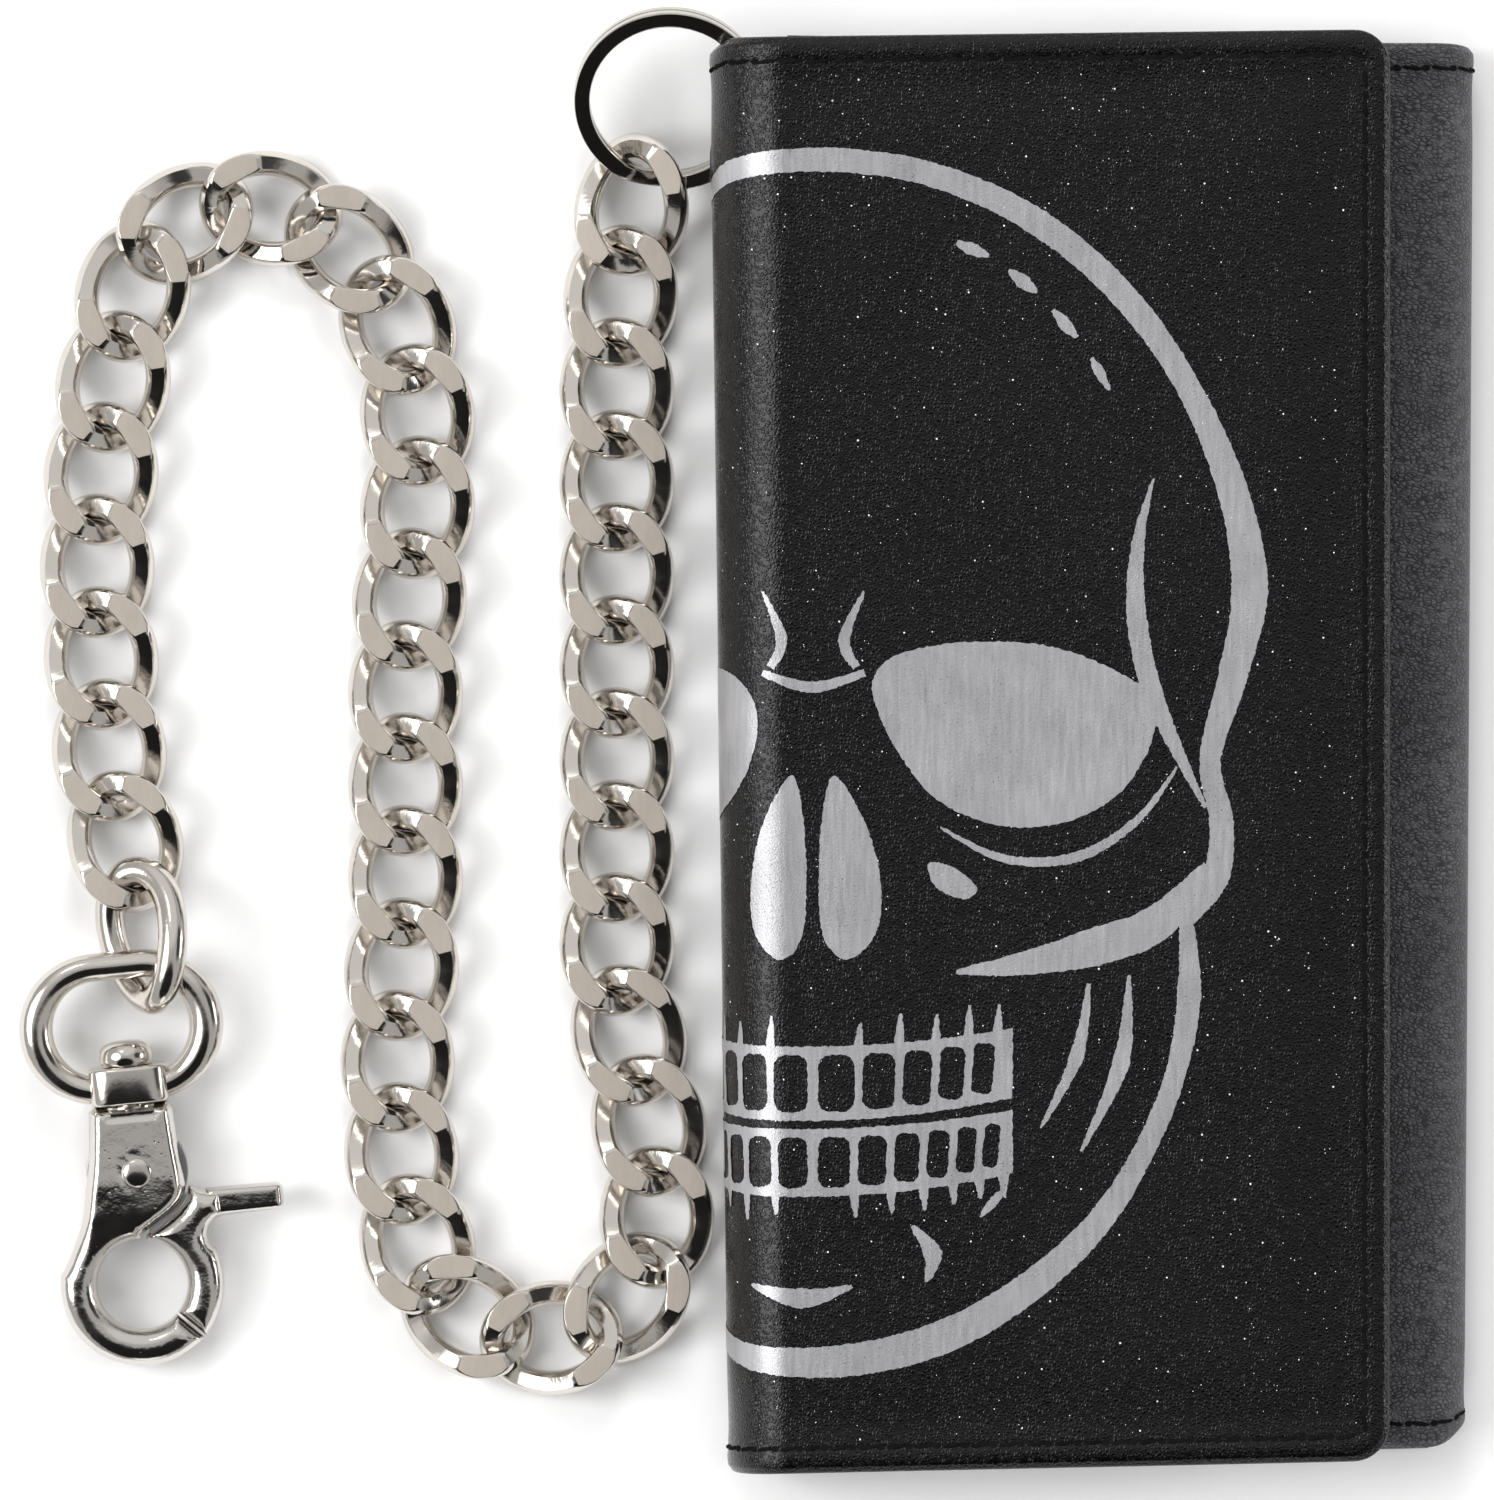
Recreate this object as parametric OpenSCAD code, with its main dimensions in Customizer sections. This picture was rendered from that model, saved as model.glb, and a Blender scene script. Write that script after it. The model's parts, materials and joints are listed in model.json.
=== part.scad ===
/* [Wallet] */
// Height of the closed wallet, along Y
wallet_h = 179; // [160:1:200]
// Thickness of the closed wallet, which is the height of the folded spine
wallet_t = 19; // [18:0.5:22]
// Width from the axis of the spine fold to the axis of the side fold
body_w = 80.4; // [70:0.2:95]
// Width of the front flap, from the axis of the spine fold to its free edge
flap_w = 75; // [60:1:78]
// Width of the inner panel, from the axis of the side fold to its free edge
inner_w = 69.4; // [60:0.2:70]
// Height of the inner panel, along Y
inner_h = 175.6; // [155:0.2:178]
// Radius of the flap's two free corners
corner_r = 4.5; // [2:0.5:10]

/* [Leather] */
// Thickness of the cover leather, with its backing
leather_t = 1.6; // [1.2:0.1:2]
// Thickness of the lining
lining_t = 0.8; // [0.6:0.1:1]
// Thickness of one layer of card pockets
pocket_t = 0.9; // [0.7:0.1:1]

/* [Chain] */
// Distance from one link's joint to the next
pitch = 11.6; // [11.2:0.1:12]
// Half of the link's width, to the middle of its wire
link_a = 5.7; // [5.4:0.1:6]
// Half of the link's length, to the middle of its wire
link_b = 7.8; // [7.6:0.1:8.1]
// Rise of the curb twist, above and below the link's middle
link_twist = 2.2; // [1.8:0.1:2.8]
// Diameter of the chain wire
wire_d = 2.8; // [2.4:0.1:3]
// Height of the ground flats above the link's middle
flat_h = 2.6; // [2.3:0.1:3]

/* [Split ring] */
// Outer diameter of the split ring
ring_od = 24; // [20:0.5:26]
// Radial width of the split ring's wire
ring_w = 2; // [1.6:0.1:2.4]
// Thickness of the two coils of the split ring together
ring_t = 2.6; // [2:0.1:3]
// Slope of the split ring as it lies in the eyelet
ring_tilt = 23; // [15:1:28]
// Bore of the eyelet
eyelet_d = 7.4; // [7:0.1:7.6]

/* [Clasp] */
// Radius of the hole in the hook
hook_r = 5.7; // [5:0.1:6]
// Outer radius of the hook
hook_ro = 10.3; // [9.5:0.1:11]
// Thickness of the hook and its gate
hook_t = 5.2; // [4:0.1:6]
// Thickness of the clasp's body
clasp_t = 6; // [5.4:0.1:7]
// Diameter of the rivet that the gate turns on
rivet_d = 3; // [2.5:0.1:3.4]
// Diameter of the wire of the swivel eye
eye_wire = 3.3; // [2.8:0.1:3.6]
// Opening of the gate, from 0 for shut
gate_angle = 0; // [0:1:25]

/* [Hidden] */
$fn = 72;

LINK_COUNT = 36;

// Colours
LEATHER = [0.09, 0.09, 0.1];
LINING = [0.05, 0.05, 0.055];
NICKEL = [0.75, 0.74, 0.72];
CLEAR = [0.85, 0.87, 0.9, 0.5];
EPS = 0.01;

// The spine fold on the left is half a circle as high as the wallet; the side fold on the
// right wraps the back and the inner panel only. X runs across the wallet, Y up it, Z out
// of its front. The origin is the middle of the back.
spine_r = wallet_t / 2;
spine_x = -38;
side_x = spine_x + body_w;
side_r = 5.1;
spine_h = wallet_h - 3;
flap_z = wallet_t - leather_t;
inner_z = 2 * side_r - leather_t;
// Each fold is cut halfway round between the two bodies that it joins
fold_gap = 1;

// The layers inside the back, the inner panel and the flap
back_inset = 2;
magnet_d = 10;
magnet_t = 0.6;
magnet_x = 14;
magnet_y = 76;

// Layers of card pockets, each open one step further in than the last
back_slots = 3;
back_slot_step = 14;
inner_slots = 2;
inner_slot_step = 16;
flap_slots = 2;
flap_slot_step = 14;
flap_slot_h = 80;
flap_slot_low = -84;
slot_inset = 4;

// The window for an identity card lies above the flap's pockets, in a leather frame
window = [58, 74, 0.4];
window_c = [-1, 43];
window_frame = 5;
window_sink = 0.2;

// The coin pocket lies on the outside of the inner panel, with its zip along it
coin_x = -20;
coin_w = 48;
coin_h = 120;
coin_t = 1.8;
coin_floor = 0.6;
zip_x = 18;
zip_w = 11;
zip_tape_t = 0.4;
zip_len = 108;
zip_end = 3;
zip_slit = 0.5;
tooth_pitch = 2.5;
tooth = [3.6, 1.2, 0.7];
slider_y = -46;
slider_plate = [6.4, 8, 0.7];
pull_l = 16;
pull_w = 4;
pull_t = 0.6;
pull_r = 3;
pull_hole_r = 1.5;

// The hole for the eyelet goes square through the curved spine, near its top
eyelet_y = 74;
eyelet_drop = 32;
eyelet_wall = 0.5;
eyelet_flange = 4.7;
eyelet_lip = 0.5;

ring_c = [-52.75, 81.4, 8];
ring_notch = 0.4;

// The chain lies from the ring down beside the wallet, up again and down to the clasp.
// chain_start is the first joint, and each link has its own heading.
chain_start = [-56.4, 73.9];
headings = [
    -100, -95, -90, -90, -90, -90, -90, -90, -90, -75, -80, -90,
    -130, -175, -215, -255, -265, -270, -275, -270, -270, -270, -275, -275,
    -265, -250, -225, -190, -150, -105, -100, -95, -90, -85, -85, -75
];
link_z = flat_h;
LOOP_RINGS = 20;
LOOP_SIDES = 8;
// A height of flats that no wire reaches, for a loop that isn't ground
UNGROUND = 10;

// The connector link is a plain link on its side, between the last curb link and the eye
connector_a = 5.3;
connector_b = 8.4;
connector_twist = -0.7;
connector_at = [-118.4, -23.3, 5.1];
connector_turn = [-9.5, -40.5, 10];

// The clasp's own frame has its origin on the rivet, Y up towards the eye and Z out of
// its face. It leans on the floor at the end of its hook.
clasp_at = [-119.5, -52.8, 2.95];
clasp_lean = 5.6;
clasp_tilt = 3.2;
hook_end = -24.8;
hook_c = [-0.6, -14.5];
gate_tip = -38;
seam_r = 7.6;
seam_gap = 0.2;
tang_t = 2.2;
tang_r = 6.6;
slot_low = -1.3;
slot_high = 2.05;
lever_t = 3;
post_d = 4;
boss_y = 8.5;
boss_h = 4.8;
boss_w = 9.9;
boss_t = 6.8;
button_d = 6.2;
button_h = 3.3;
post_low = 7.5;
rivet_head_h = 0.6;
spring_wire = 0.7;
eye_c = 18.2;
eye_bend = 7.8;
eye_straight = 5.6;
fit = 0.05;

function unit(v) = v / norm(v);
function link_name(k) = str("link_", k < 10 ? "0" : "", k);
function polar(r, a) = r * [cos(a), sin(a)];
function step(a) = pitch * polar(1, a);

// A fan of n triangles from the origin, from angle a0 to a1, that reaches out to r or more
function fan(r, a0, a1, n) = concat(
    [[0, 0]],
    [for (i = [0:n]) polar(2 * r, a0 + (a1 - a0) * i / n)]
);

// Joint k of the chain: 0 is at the ring, and LINK_COUNT is at the connector
function chain_joint(k) = k == 0 ? chain_start : chain_joint(k - 1) + step(headings[k - 1]);

// Height, pitch and roll of each link: the first climbs onto the ring, the last onto the connector
function link_pose(k) =
    k == 1 ? [3.7, 7, -10] :
    k == LINK_COUNT ? [3.5, 0, 0] : [link_z, 0, 0];

// ---------- shapes ----------

// A profile in X and Z, run along Y
module run(length) {
    rotate([90, 0, 0])
        linear_extrude(height = length, center = true)
            children();
}

// A sector of a round band, from angle a0 to a1, seen along Y
module band(r, t, a0, a1) {
    intersection() {
        difference() {
            circle(r = r);
            circle(r = r - t);
        }
        polygon(fan(r, a0, a1, 4));
    }
}

// A flat panel with its free corners rounded: side = 1 rounds the +X end, -1 the -X end
module panel(x0, x1, h, t, r, side) {
    free_x = side > 0 ? x1 - r : x0 + r;
    root_x = side > 0 ? x0 : x0 + r;
    linear_extrude(height = t)
        union() {
            translate([root_x, -h / 2])
                square([x1 - x0 - r, h]);
            translate([free_x - r, -h / 2 + r])
                square([2 * r, h - 2 * r]);
            for (s = [-1, 1])
                translate([free_x, s * (h / 2 - r)])
                    circle(r = r);
        }
}

module slab(x0, x1, y0, y1, z0, z1) {
    translate([x0, y0, z0])
        cube([x1 - x0, y1 - y0, z1 - z0]);
}

// Card pockets: layers that each start one step further in
module pockets(x0, x1, h, z0, count, grow, dir) {
    for (i = [0:count - 1]) {
        low = dir > 0 ? z0 + i * pocket_t : z0 - (i + 1) * pocket_t;
        slab(x0 + i * grow, x1, -h / 2, h / 2, low, low + pocket_t);
    }
}

// A closed loop of round wire, twisted as a curb link is, with flats ground on both faces
module wire_loop(a, b, twist, r, flat) {
    points = [
        for (i = [0:LOOP_RINGS - 1])
            let (
                t = 360 * i / LOOP_RINGS,
                p = [a * cos(t), b * sin(t), twist * sin(2 * t)],
                along = unit([-a * sin(t), b * cos(t), 2 * twist * cos(2 * t)]),
                side = unit(cross(along, [0, 0, 1])),
                up = cross(side, along)
            )
            for (j = [0:LOOP_SIDES - 1])
                let (
                    w = 360 * (j + 0.5) / LOOP_SIDES,
                    v = p + r * (cos(w) * side + sin(w) * up)
                )
                [v.x, v.y, max(-flat, min(flat, v.z))]
    ];
    faces = [
        for (i = [0:LOOP_RINGS - 1])
            for (j = [0:LOOP_SIDES - 1])
                let (
                    i2 = (i + 1) % LOOP_RINGS,
                    j2 = (j + 1) % LOOP_SIDES,
                    near = i * LOOP_SIDES,
                    far = i2 * LOOP_SIDES,
                    q = [near + j, near + j2, far + j2, far + j]
                )
                for (tri = [[q[0], q[1], q[2]], [q[0], q[2], q[3]]])
                    tri
    ];
    polyhedron(points = points, faces = faces, convexity = 4);
}

module at_spine() {
    translate([spine_x, 0, spine_r])
        children();
}

module at_side() {
    translate([side_x, 0, side_r])
        children();
}

// Z along the eyelet's bore, outwards from the spine's axis
module at_eyelet() {
    translate([spine_x, eyelet_y, spine_r])
        rotate([0, -90 - eyelet_drop, 0])
            children();
}

module at_clasp() {
    translate(clasp_at)
        rotate([0, 0, clasp_lean])
            translate([0, hook_end, 0])
                rotate([clasp_tilt, 0, 0])
                    translate([0, -hook_end, 0])
                        children();
}

// ---------- wallet back ----------

module back_cover() {
    color(LEATHER)
        slab(spine_x, side_x, -wallet_h / 2, wallet_h / 2, 0, leather_t);
}

module left_spine() {
    color(LEATHER)
        difference() {
            at_spine()
                run(spine_h)
                    band(spine_r, leather_t, 135 + fold_gap, 270);
            at_eyelet()
                cylinder(r = eyelet_d / 2 + eyelet_wall + fit, h = 2 * spine_r);
            // The ring bears on the top edge, and has pressed a notch into it
            ring_band(ring_notch);
        }
}

module right_spine() {
    color(LEATHER)
        at_side()
            run(inner_h)
                band(side_r, leather_t, -90, 45 - 2 * fold_gap);
}

module eyelet() {
    color(NICKEL)
        at_eyelet()
            difference() {
                union() {
                    translate([0, 0, spine_r - leather_t - 0.4])
                        cylinder(r = eyelet_d / 2 + eyelet_wall, h = leather_t + 0.6);
                    translate([0, 0, spine_r])
                        cylinder(r = eyelet_flange, h = eyelet_lip);
                }
                cylinder(r = eyelet_d / 2, h = 2 * spine_r);
            }
}

module back_lining() {
    color(LINING)
        slab(spine_x + 1, side_x - 1, -wallet_h / 2 + back_inset, wallet_h / 2 - back_inset,
            leather_t, leather_t + lining_t);
}

module back_card_slots() {
    color(LEATHER)
        pockets(spine_x + 2, side_x - 5, wallet_h - 2 * slot_inset, leather_t + lining_t,
            back_slots, back_slot_step, 1);
}

// ---------- flap ----------

module flap_cover() {
    color(LEATHER) {
        translate([0, 0, flap_z])
            panel(spine_x, spine_x + flap_w, wallet_h, leather_t, corner_r, 1);
        at_spine()
            run(spine_h)
                band(spine_r, leather_t, 90, 135 - fold_gap);
    }
}

module magnet_pair(z, r, t) {
    for (s = [-1, 1])
        translate([magnet_x, s * magnet_y, z])
            cylinder(r = r, h = t);
}

module flap_lining() {
    color(LINING)
        difference() {
            translate([0, 0, flap_z - lining_t])
                panel(spine_x + 1, spine_x + flap_w - 1, wallet_h - 3, lining_t, corner_r, 1);
            magnet_pair(flap_z - magnet_t - fit, magnet_d / 2 + fit, 1);
        }
}

module flap_magnets() {
    color(NICKEL)
        magnet_pair(flap_z - magnet_t, magnet_d / 2, magnet_t);
}

module flap_card_slots() {
    top = flap_z - lining_t;
    w = window.x + 2 * window_frame;
    h = window.y + 2 * window_frame;
    color(LEATHER) {
        translate([0, flap_slot_low + flap_slot_h / 2, 0])
            pockets(spine_x + slot_inset, spine_x + flap_w - slot_inset, flap_slot_h, top,
                flap_slots, flap_slot_step, -1);
        difference() {
            slab(window_c.x - w / 2, window_c.x + w / 2, window_c.y - h / 2, window_c.y + h / 2,
                top - pocket_t, top);
            slab(window_c.x - window.x / 2, window_c.x + window.x / 2,
                window_c.y - window.y / 2, window_c.y + window.y / 2, top - 2, top + 1);
        }
    }
}

module id_window() {
    z = flap_z - lining_t - window_sink - window.z;
    color(CLEAR)
        slab(window_c.x - window.x / 2 + fit, window_c.x + window.x / 2 - fit,
            window_c.y - window.y / 2 + fit, window_c.y + window.y / 2 - fit, z, z + window.z);
}

// ---------- inner panel ----------

module inner_cover() {
    color(LEATHER)
        difference() {
            union() {
                translate([0, 0, inner_z])
                    panel(side_x - inner_w, side_x, inner_h, leather_t, corner_r, -1);
                at_side()
                    run(inner_h)
                        band(side_r, leather_t, 45 + 2 * fold_gap, 90);
            }
            magnet_pair(inner_z - EPS, magnet_d / 2 + fit, magnet_t + 0.1);
        }
}

module inner_plates() {
    color(NICKEL)
        magnet_pair(inner_z, magnet_d / 2, magnet_t);
}

module inner_card_slots() {
    color(LEATHER)
        pockets(side_x - inner_w + 3, side_x - 5, inner_h - 6, inner_z,
            inner_slots, inner_slot_step, -1);
}

module coin_pocket() {
    top = 2 * side_r;
    color(LEATHER)
        difference() {
            slab(coin_x, coin_x + coin_w, -coin_h / 2, coin_h / 2, top, top + coin_t);
            slab(zip_x - tooth.x / 2, zip_x + tooth.x / 2, -zip_len / 2, zip_len / 2,
                top + coin_floor, top + 2 * coin_t);
        }
}

module zip_tape() {
    z = 2 * side_r + coin_t;
    teeth = floor(zip_len / tooth_pitch);
    color(LINING)
        difference() {
            slab(zip_x - zip_w / 2, zip_x + zip_w / 2, -zip_len / 2 - zip_end, zip_len / 2 + zip_end,
                z, z + zip_tape_t);
            slab(zip_x - zip_slit / 2, zip_x + zip_slit / 2, -zip_len / 2, zip_len / 2, z - 1, z + 1);
        }
    color(NICKEL)
        for (i = [0:teeth - 1])
            translate([zip_x - tooth.x / 2, -zip_len / 2 + (i + 0.3) * tooth_pitch, z + zip_tape_t])
                cube(tooth);
}

module zip_slider() {
    z = 2 * side_r + coin_t + zip_tape_t + tooth.z + 0.1;
    color(NICKEL)
        translate([zip_x, slider_y, z]) {
            translate([-slider_plate.x / 2, -slider_plate.y / 2, 0])
                cube(slider_plate);
            difference() {
                union() {
                    translate([-pull_w / 2, -pull_l, slider_plate.z])
                        cube([pull_w, pull_l, pull_t]);
                    translate([0, -pull_l, slider_plate.z])
                        cylinder(r = pull_r, h = pull_t);
                }
                translate([0, -pull_l, 0])
                    cylinder(r = pull_hole_r, h = 2);
            }
        }
}

// ---------- ring and chain ----------

// The split ring, or the space that it needs with some play all round
module ring_band(play) {
    translate(ring_c)
        rotate([ring_tilt, 0, 0])
            rotate_extrude()
                translate([ring_od / 2 - ring_w - play, -ring_t / 2 - play])
                    square([ring_w + 2 * play, ring_t + 2 * play]);
}

module split_ring() {
    color(NICKEL)
        ring_band(0);
}

module chain_link(k) {
    middle = chain_joint(k - 1) + step(headings[k - 1]) / 2;
    pose = link_pose(k);
    color(NICKEL)
        translate([middle.x, middle.y, pose[0]])
            rotate([0, 0, headings[k - 1] + 90])
                rotate([pose[1], 0, 0])
                    rotate([0, pose[2], 0])
                        wire_loop(link_a, link_b, link_twist, wire_d / 2, flat_h);
}

module connector_link() {
    color(NICKEL)
        translate(connector_at)
            rotate([0, 0, connector_turn[2]])
                rotate([connector_turn[0], 0, 0])
                    rotate([0, connector_turn[1], 0])
                        wire_loop(connector_a, connector_b, connector_twist, wire_d / 2, UNGROUND);
}

// ---------- clasp ----------

// A round loop with straight top and bottom bars, and a boss at the bottom that holds the post
module swivel_eye() {
    color(NICKEL)
        at_clasp()
            difference() {
                union() {
                    for (s = [-1, 1])
                        translate([s * eye_straight / 2, eye_c, 0])
                            rotate([0, 0, -90 * s])
                                rotate_extrude(angle = 180)
                                    translate([eye_bend, 0])
                                        circle(d = eye_wire, $fn = 36);
                    for (s = [-1, 1])
                        translate([-eye_straight / 2, eye_c + s * eye_bend, 0])
                            rotate([0, 90, 0])
                                cylinder(d = eye_wire, h = eye_straight, $fn = 36);
                    intersection() {
                        translate([0, boss_y, 0])
                            rotate([-90, 0, 0])
                                cylinder(d = boss_w, h = boss_h);
                        translate([-boss_w, boss_y, -boss_t / 2])
                            cube([2 * boss_w, boss_h, boss_t]);
                    }
                }
                translate([0, boss_y - 1, 0])
                    rotate([-90, 0, 0])
                        cylinder(d = post_d + 2 * fit, h = boss_h + 2);
            }
}

module ring_sector(c, ri, ro, a0, a1) {
    translate(c)
        intersection() {
            difference() {
                circle(r = ro);
                circle(r = ri);
            }
            polygon(fan(ro, a0, a1, 6));
        }
}

// The body tapers up to the post; its lower right side is an arc about the rivet
module clasp_outline() {
    difference() {
        union() {
            polygon([
                [-4.9, 8.2], [4.6, 8.2], [6, 0.5], [6, -2],
                [0, -7], [-5, -9], [-6.6, -5.5], [-6.2, 0]
            ]);
            circle(r = seam_r - 1);
            intersection() {
                circle(r = seam_r);
                translate([-5, -8])
                    square([10.8, 8]);
            }
        }
        translate(hook_c)
            circle(r = hook_r);
    }
}

module clasp_body() {
    color(NICKEL)
        at_clasp()
            difference() {
                union() {
                    linear_extrude(height = clasp_t, center = true)
                        clasp_outline();
                    linear_extrude(height = hook_t, center = true)
                        ring_sector(hook_c, hook_r, hook_ro, 92, 360 + gate_tip - 2);
                    // Post and button on which the eye turns
                    translate([0, post_low, 0])
                        rotate([-90, 0, 0])
                            cylinder(d = post_d, h = boss_y + boss_h - post_low + 0.5);
                    translate([0, boss_y + boss_h + 0.1, 0])
                        rotate([-90, 0, 0])
                            cylinder(d = button_d, h = button_h);
                }
                cylinder(d = rivet_d + 2 * fit, h = 20, center = true);
                translate([-3.5, -9.5, slot_low])
                    cube([12, 13.5, slot_high - slot_low]);
                rotate_extrude()
                    translate([0, slot_low])
                        square([tang_r + 0.3, slot_high - slot_low]);
            }
}

module gate_outline() {
    difference() {
        union() {
            ring_sector(hook_c, hook_r, hook_ro, gate_tip, 88);
            polygon([
                [5.4, -6.8], [6.2, -4.6], [7.4, -3.2], [10, -3.4],
                [10, -6.75], [8.6, -7], [7.9, -9]
            ]);
        }
        circle(r = seam_r + seam_gap);
    }
}

// Gate, lever and the tang inside the body, in one piece about the rivet
module clasp_trigger() {
    color(NICKEL)
        at_clasp()
            rotate([0, 0, gate_angle])
                difference() {
                    union() {
                        linear_extrude(height = hook_t, center = true)
                            gate_outline();
                        linear_extrude(height = lever_t, center = true)
                            polygon([[9, -3.35], [17.7, -3.75], [17.35, -7.5], [9, -6.6]]);
                        translate([0, 0, -tang_t / 2])
                            cylinder(r = tang_r, h = tang_t);
                        translate([0, 0, -tang_t / 2])
                            linear_extrude(height = tang_t)
                                polygon([[0, 0], [1.5, -8.6], [5.5, -7], [7.4, -4]]);
                    }
                    cylinder(d = rivet_d + 4 * fit, h = 20, center = true);
                }
}

module clasp_rivet() {
    color(NICKEL)
        at_clasp() {
            cylinder(d = rivet_d, h = clasp_t, center = true);
            for (s = [-1, 1])
                translate([0, 0, s * (clasp_t + rivet_head_h) / 2])
                    cylinder(d = rivet_d + 0.8, h = rivet_head_h, center = true);
        }
}

module clasp_spring() {
    color(NICKEL)
        at_clasp()
            translate([0, 0, (tang_t / 2 + slot_high) / 2])
                rotate_extrude()
                    translate([rivet_d / 2 + 0.8, 0])
                        circle(d = spring_wire, $fn = 24);
}

back_cover();
left_spine();
right_spine();
eyelet();
back_lining();
back_card_slots();
flap_cover();
flap_lining();
flap_card_slots();
id_window();
flap_magnets();
inner_cover();
inner_card_slots();
inner_plates();
coin_pocket();
zip_tape();
zip_slider();
split_ring();
connector_link();
swivel_eye();
clasp_body();
clasp_trigger();
clasp_rivet();
clasp_spring();
for (k = [1:LINK_COUNT])
    chain_link(k);
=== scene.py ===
import json
import math
import random

import bmesh
import bpy
import numpy as np
from mathutils import Matrix, Vector, geometry, noise


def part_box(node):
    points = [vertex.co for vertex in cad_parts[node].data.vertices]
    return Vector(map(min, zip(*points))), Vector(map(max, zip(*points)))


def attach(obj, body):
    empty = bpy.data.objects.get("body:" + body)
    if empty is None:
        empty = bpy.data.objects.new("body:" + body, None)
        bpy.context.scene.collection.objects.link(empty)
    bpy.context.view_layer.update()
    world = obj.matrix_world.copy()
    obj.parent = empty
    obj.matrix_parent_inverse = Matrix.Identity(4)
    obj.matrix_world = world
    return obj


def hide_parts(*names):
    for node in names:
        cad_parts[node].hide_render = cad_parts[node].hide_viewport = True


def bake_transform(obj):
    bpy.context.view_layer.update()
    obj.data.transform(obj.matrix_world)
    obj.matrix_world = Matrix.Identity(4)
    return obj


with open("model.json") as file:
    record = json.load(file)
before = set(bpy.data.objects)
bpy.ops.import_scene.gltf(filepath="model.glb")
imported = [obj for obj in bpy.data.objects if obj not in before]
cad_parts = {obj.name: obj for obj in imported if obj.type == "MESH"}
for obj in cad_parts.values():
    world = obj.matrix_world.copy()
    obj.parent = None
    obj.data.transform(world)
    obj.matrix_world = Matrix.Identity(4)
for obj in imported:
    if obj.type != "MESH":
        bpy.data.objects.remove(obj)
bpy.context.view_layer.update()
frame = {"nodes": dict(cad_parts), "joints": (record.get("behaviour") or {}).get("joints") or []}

MM = 0.001
UV_SIZE = 100  # mm of the leather to 1 in UV
RNG = random.Random(7)
scene = bpy.context.scene

# ---------------------------------------------------------------- camera, light, floor

VIEW_HEIGHT = 187.5  # mm of the wallet's plane that the picture's height takes in
CAMERA_X = -43.1
CAMERA_Y = 40
CAMERA_Z = 2500
TARGET_Z = 10
SENSOR = 36


def add_object(name, data):
    obj = bpy.data.objects.new(name, data)
    scene.collection.objects.link(obj)
    return obj


def add_camera():
    """A long lens, straight above but for a slight lean."""
    data = bpy.data.cameras.new("camera")
    data.sensor_width = SENSOR
    lean = math.atan2(CAMERA_Y, CAMERA_Z - TARGET_Z)
    data.lens = SENSOR * math.hypot(CAMERA_Y, CAMERA_Z - TARGET_Z) / VIEW_HEIGHT
    data.clip_end = 10
    cam = add_object("camera", data)
    cam.location = Vector((CAMERA_X, CAMERA_Y, CAMERA_Z)) * MM
    cam.rotation_euler = (-lean, 0, 0)
    scene.camera = cam


LIGHT_AIM = (-43, 0, 0)
LIGHT_SIZE = 380
LIGHTS = {
    "left": ((-1000, 100, 680), 3.6),
    "right": ((900, 0, 680), 3.3),
    "far": ((-43, 1000, 680), 4.2),
    "near": ((-43, -900, 680), 3.0),
}


def add_light(name, at, power):
    """A soft square light, not seen in the metal."""
    data = bpy.data.lights.new(name, "AREA")
    data.shape = "RECTANGLE"
    data.size = data.size_y = LIGHT_SIZE * MM
    data.energy = power
    light = add_object(name, data)
    light.location = Vector(at) * MM
    light.visible_glossy = False
    aim = Vector(LIGHT_AIM) * MM - light.location
    light.rotation_euler = aim.to_track_quat("-Z", "Y").to_euler()


# The studio, as round panels: direction, reach and soft edge in degrees, brightness
STUDIO_BASE = 0.5
STUDIO = [
    ((0, 0.72, 0.69), 34, 16, 0.78),
    ((-0.69, 0.06, 0.72), 19, 6, 4.4),
    ((0.8, 0.15, 0.58), 16, 6, 0.05),
    ((0.97, 0.1, 0.22), 10, 6, 4.0),
    ((0, -0.63, 0.777), 34, 7, 0.015),
    ((0.05, -0.98, 0.2), 10, 5, 1.3),
    ((-0.28, 0.62, 0.73), 7, 4, 2.4),
]


def add_world():
    """A pale tent with bright panels and black cards, which give the metal its contrast."""
    world = bpy.data.worlds.new("studio")
    world.use_nodes = True
    world.node_tree.nodes.clear()
    t = Nodes(world.node_tree)
    coord = t.node("TexCoord").outputs["Generated"]
    level = STUDIO_BASE
    for toward, reach, soft, value in STUDIO:
        toward = Vector(toward).normalized()
        dot = t.node("VectorMath", {0: coord, 1: toward}, operation="DOT_PRODUCT")
        outer, inner = (math.cos(math.radians(reach + side * soft / 2)) for side in (1, -1))
        inside = t.ramp(dot.outputs["Value"], outer, inner, 0, 1)
        level = t.node("Mix", {0: inside, 2: level, 3: value}).outputs[0]
    back = t.node("Background", {"Color": (1, 1, 1, 1), "Strength": level})
    t.node("OutputWorld", {"Surface": back.outputs[0]})
    scene.world = world


# ---------------------------------------------------------------- mesh helpers

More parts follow.
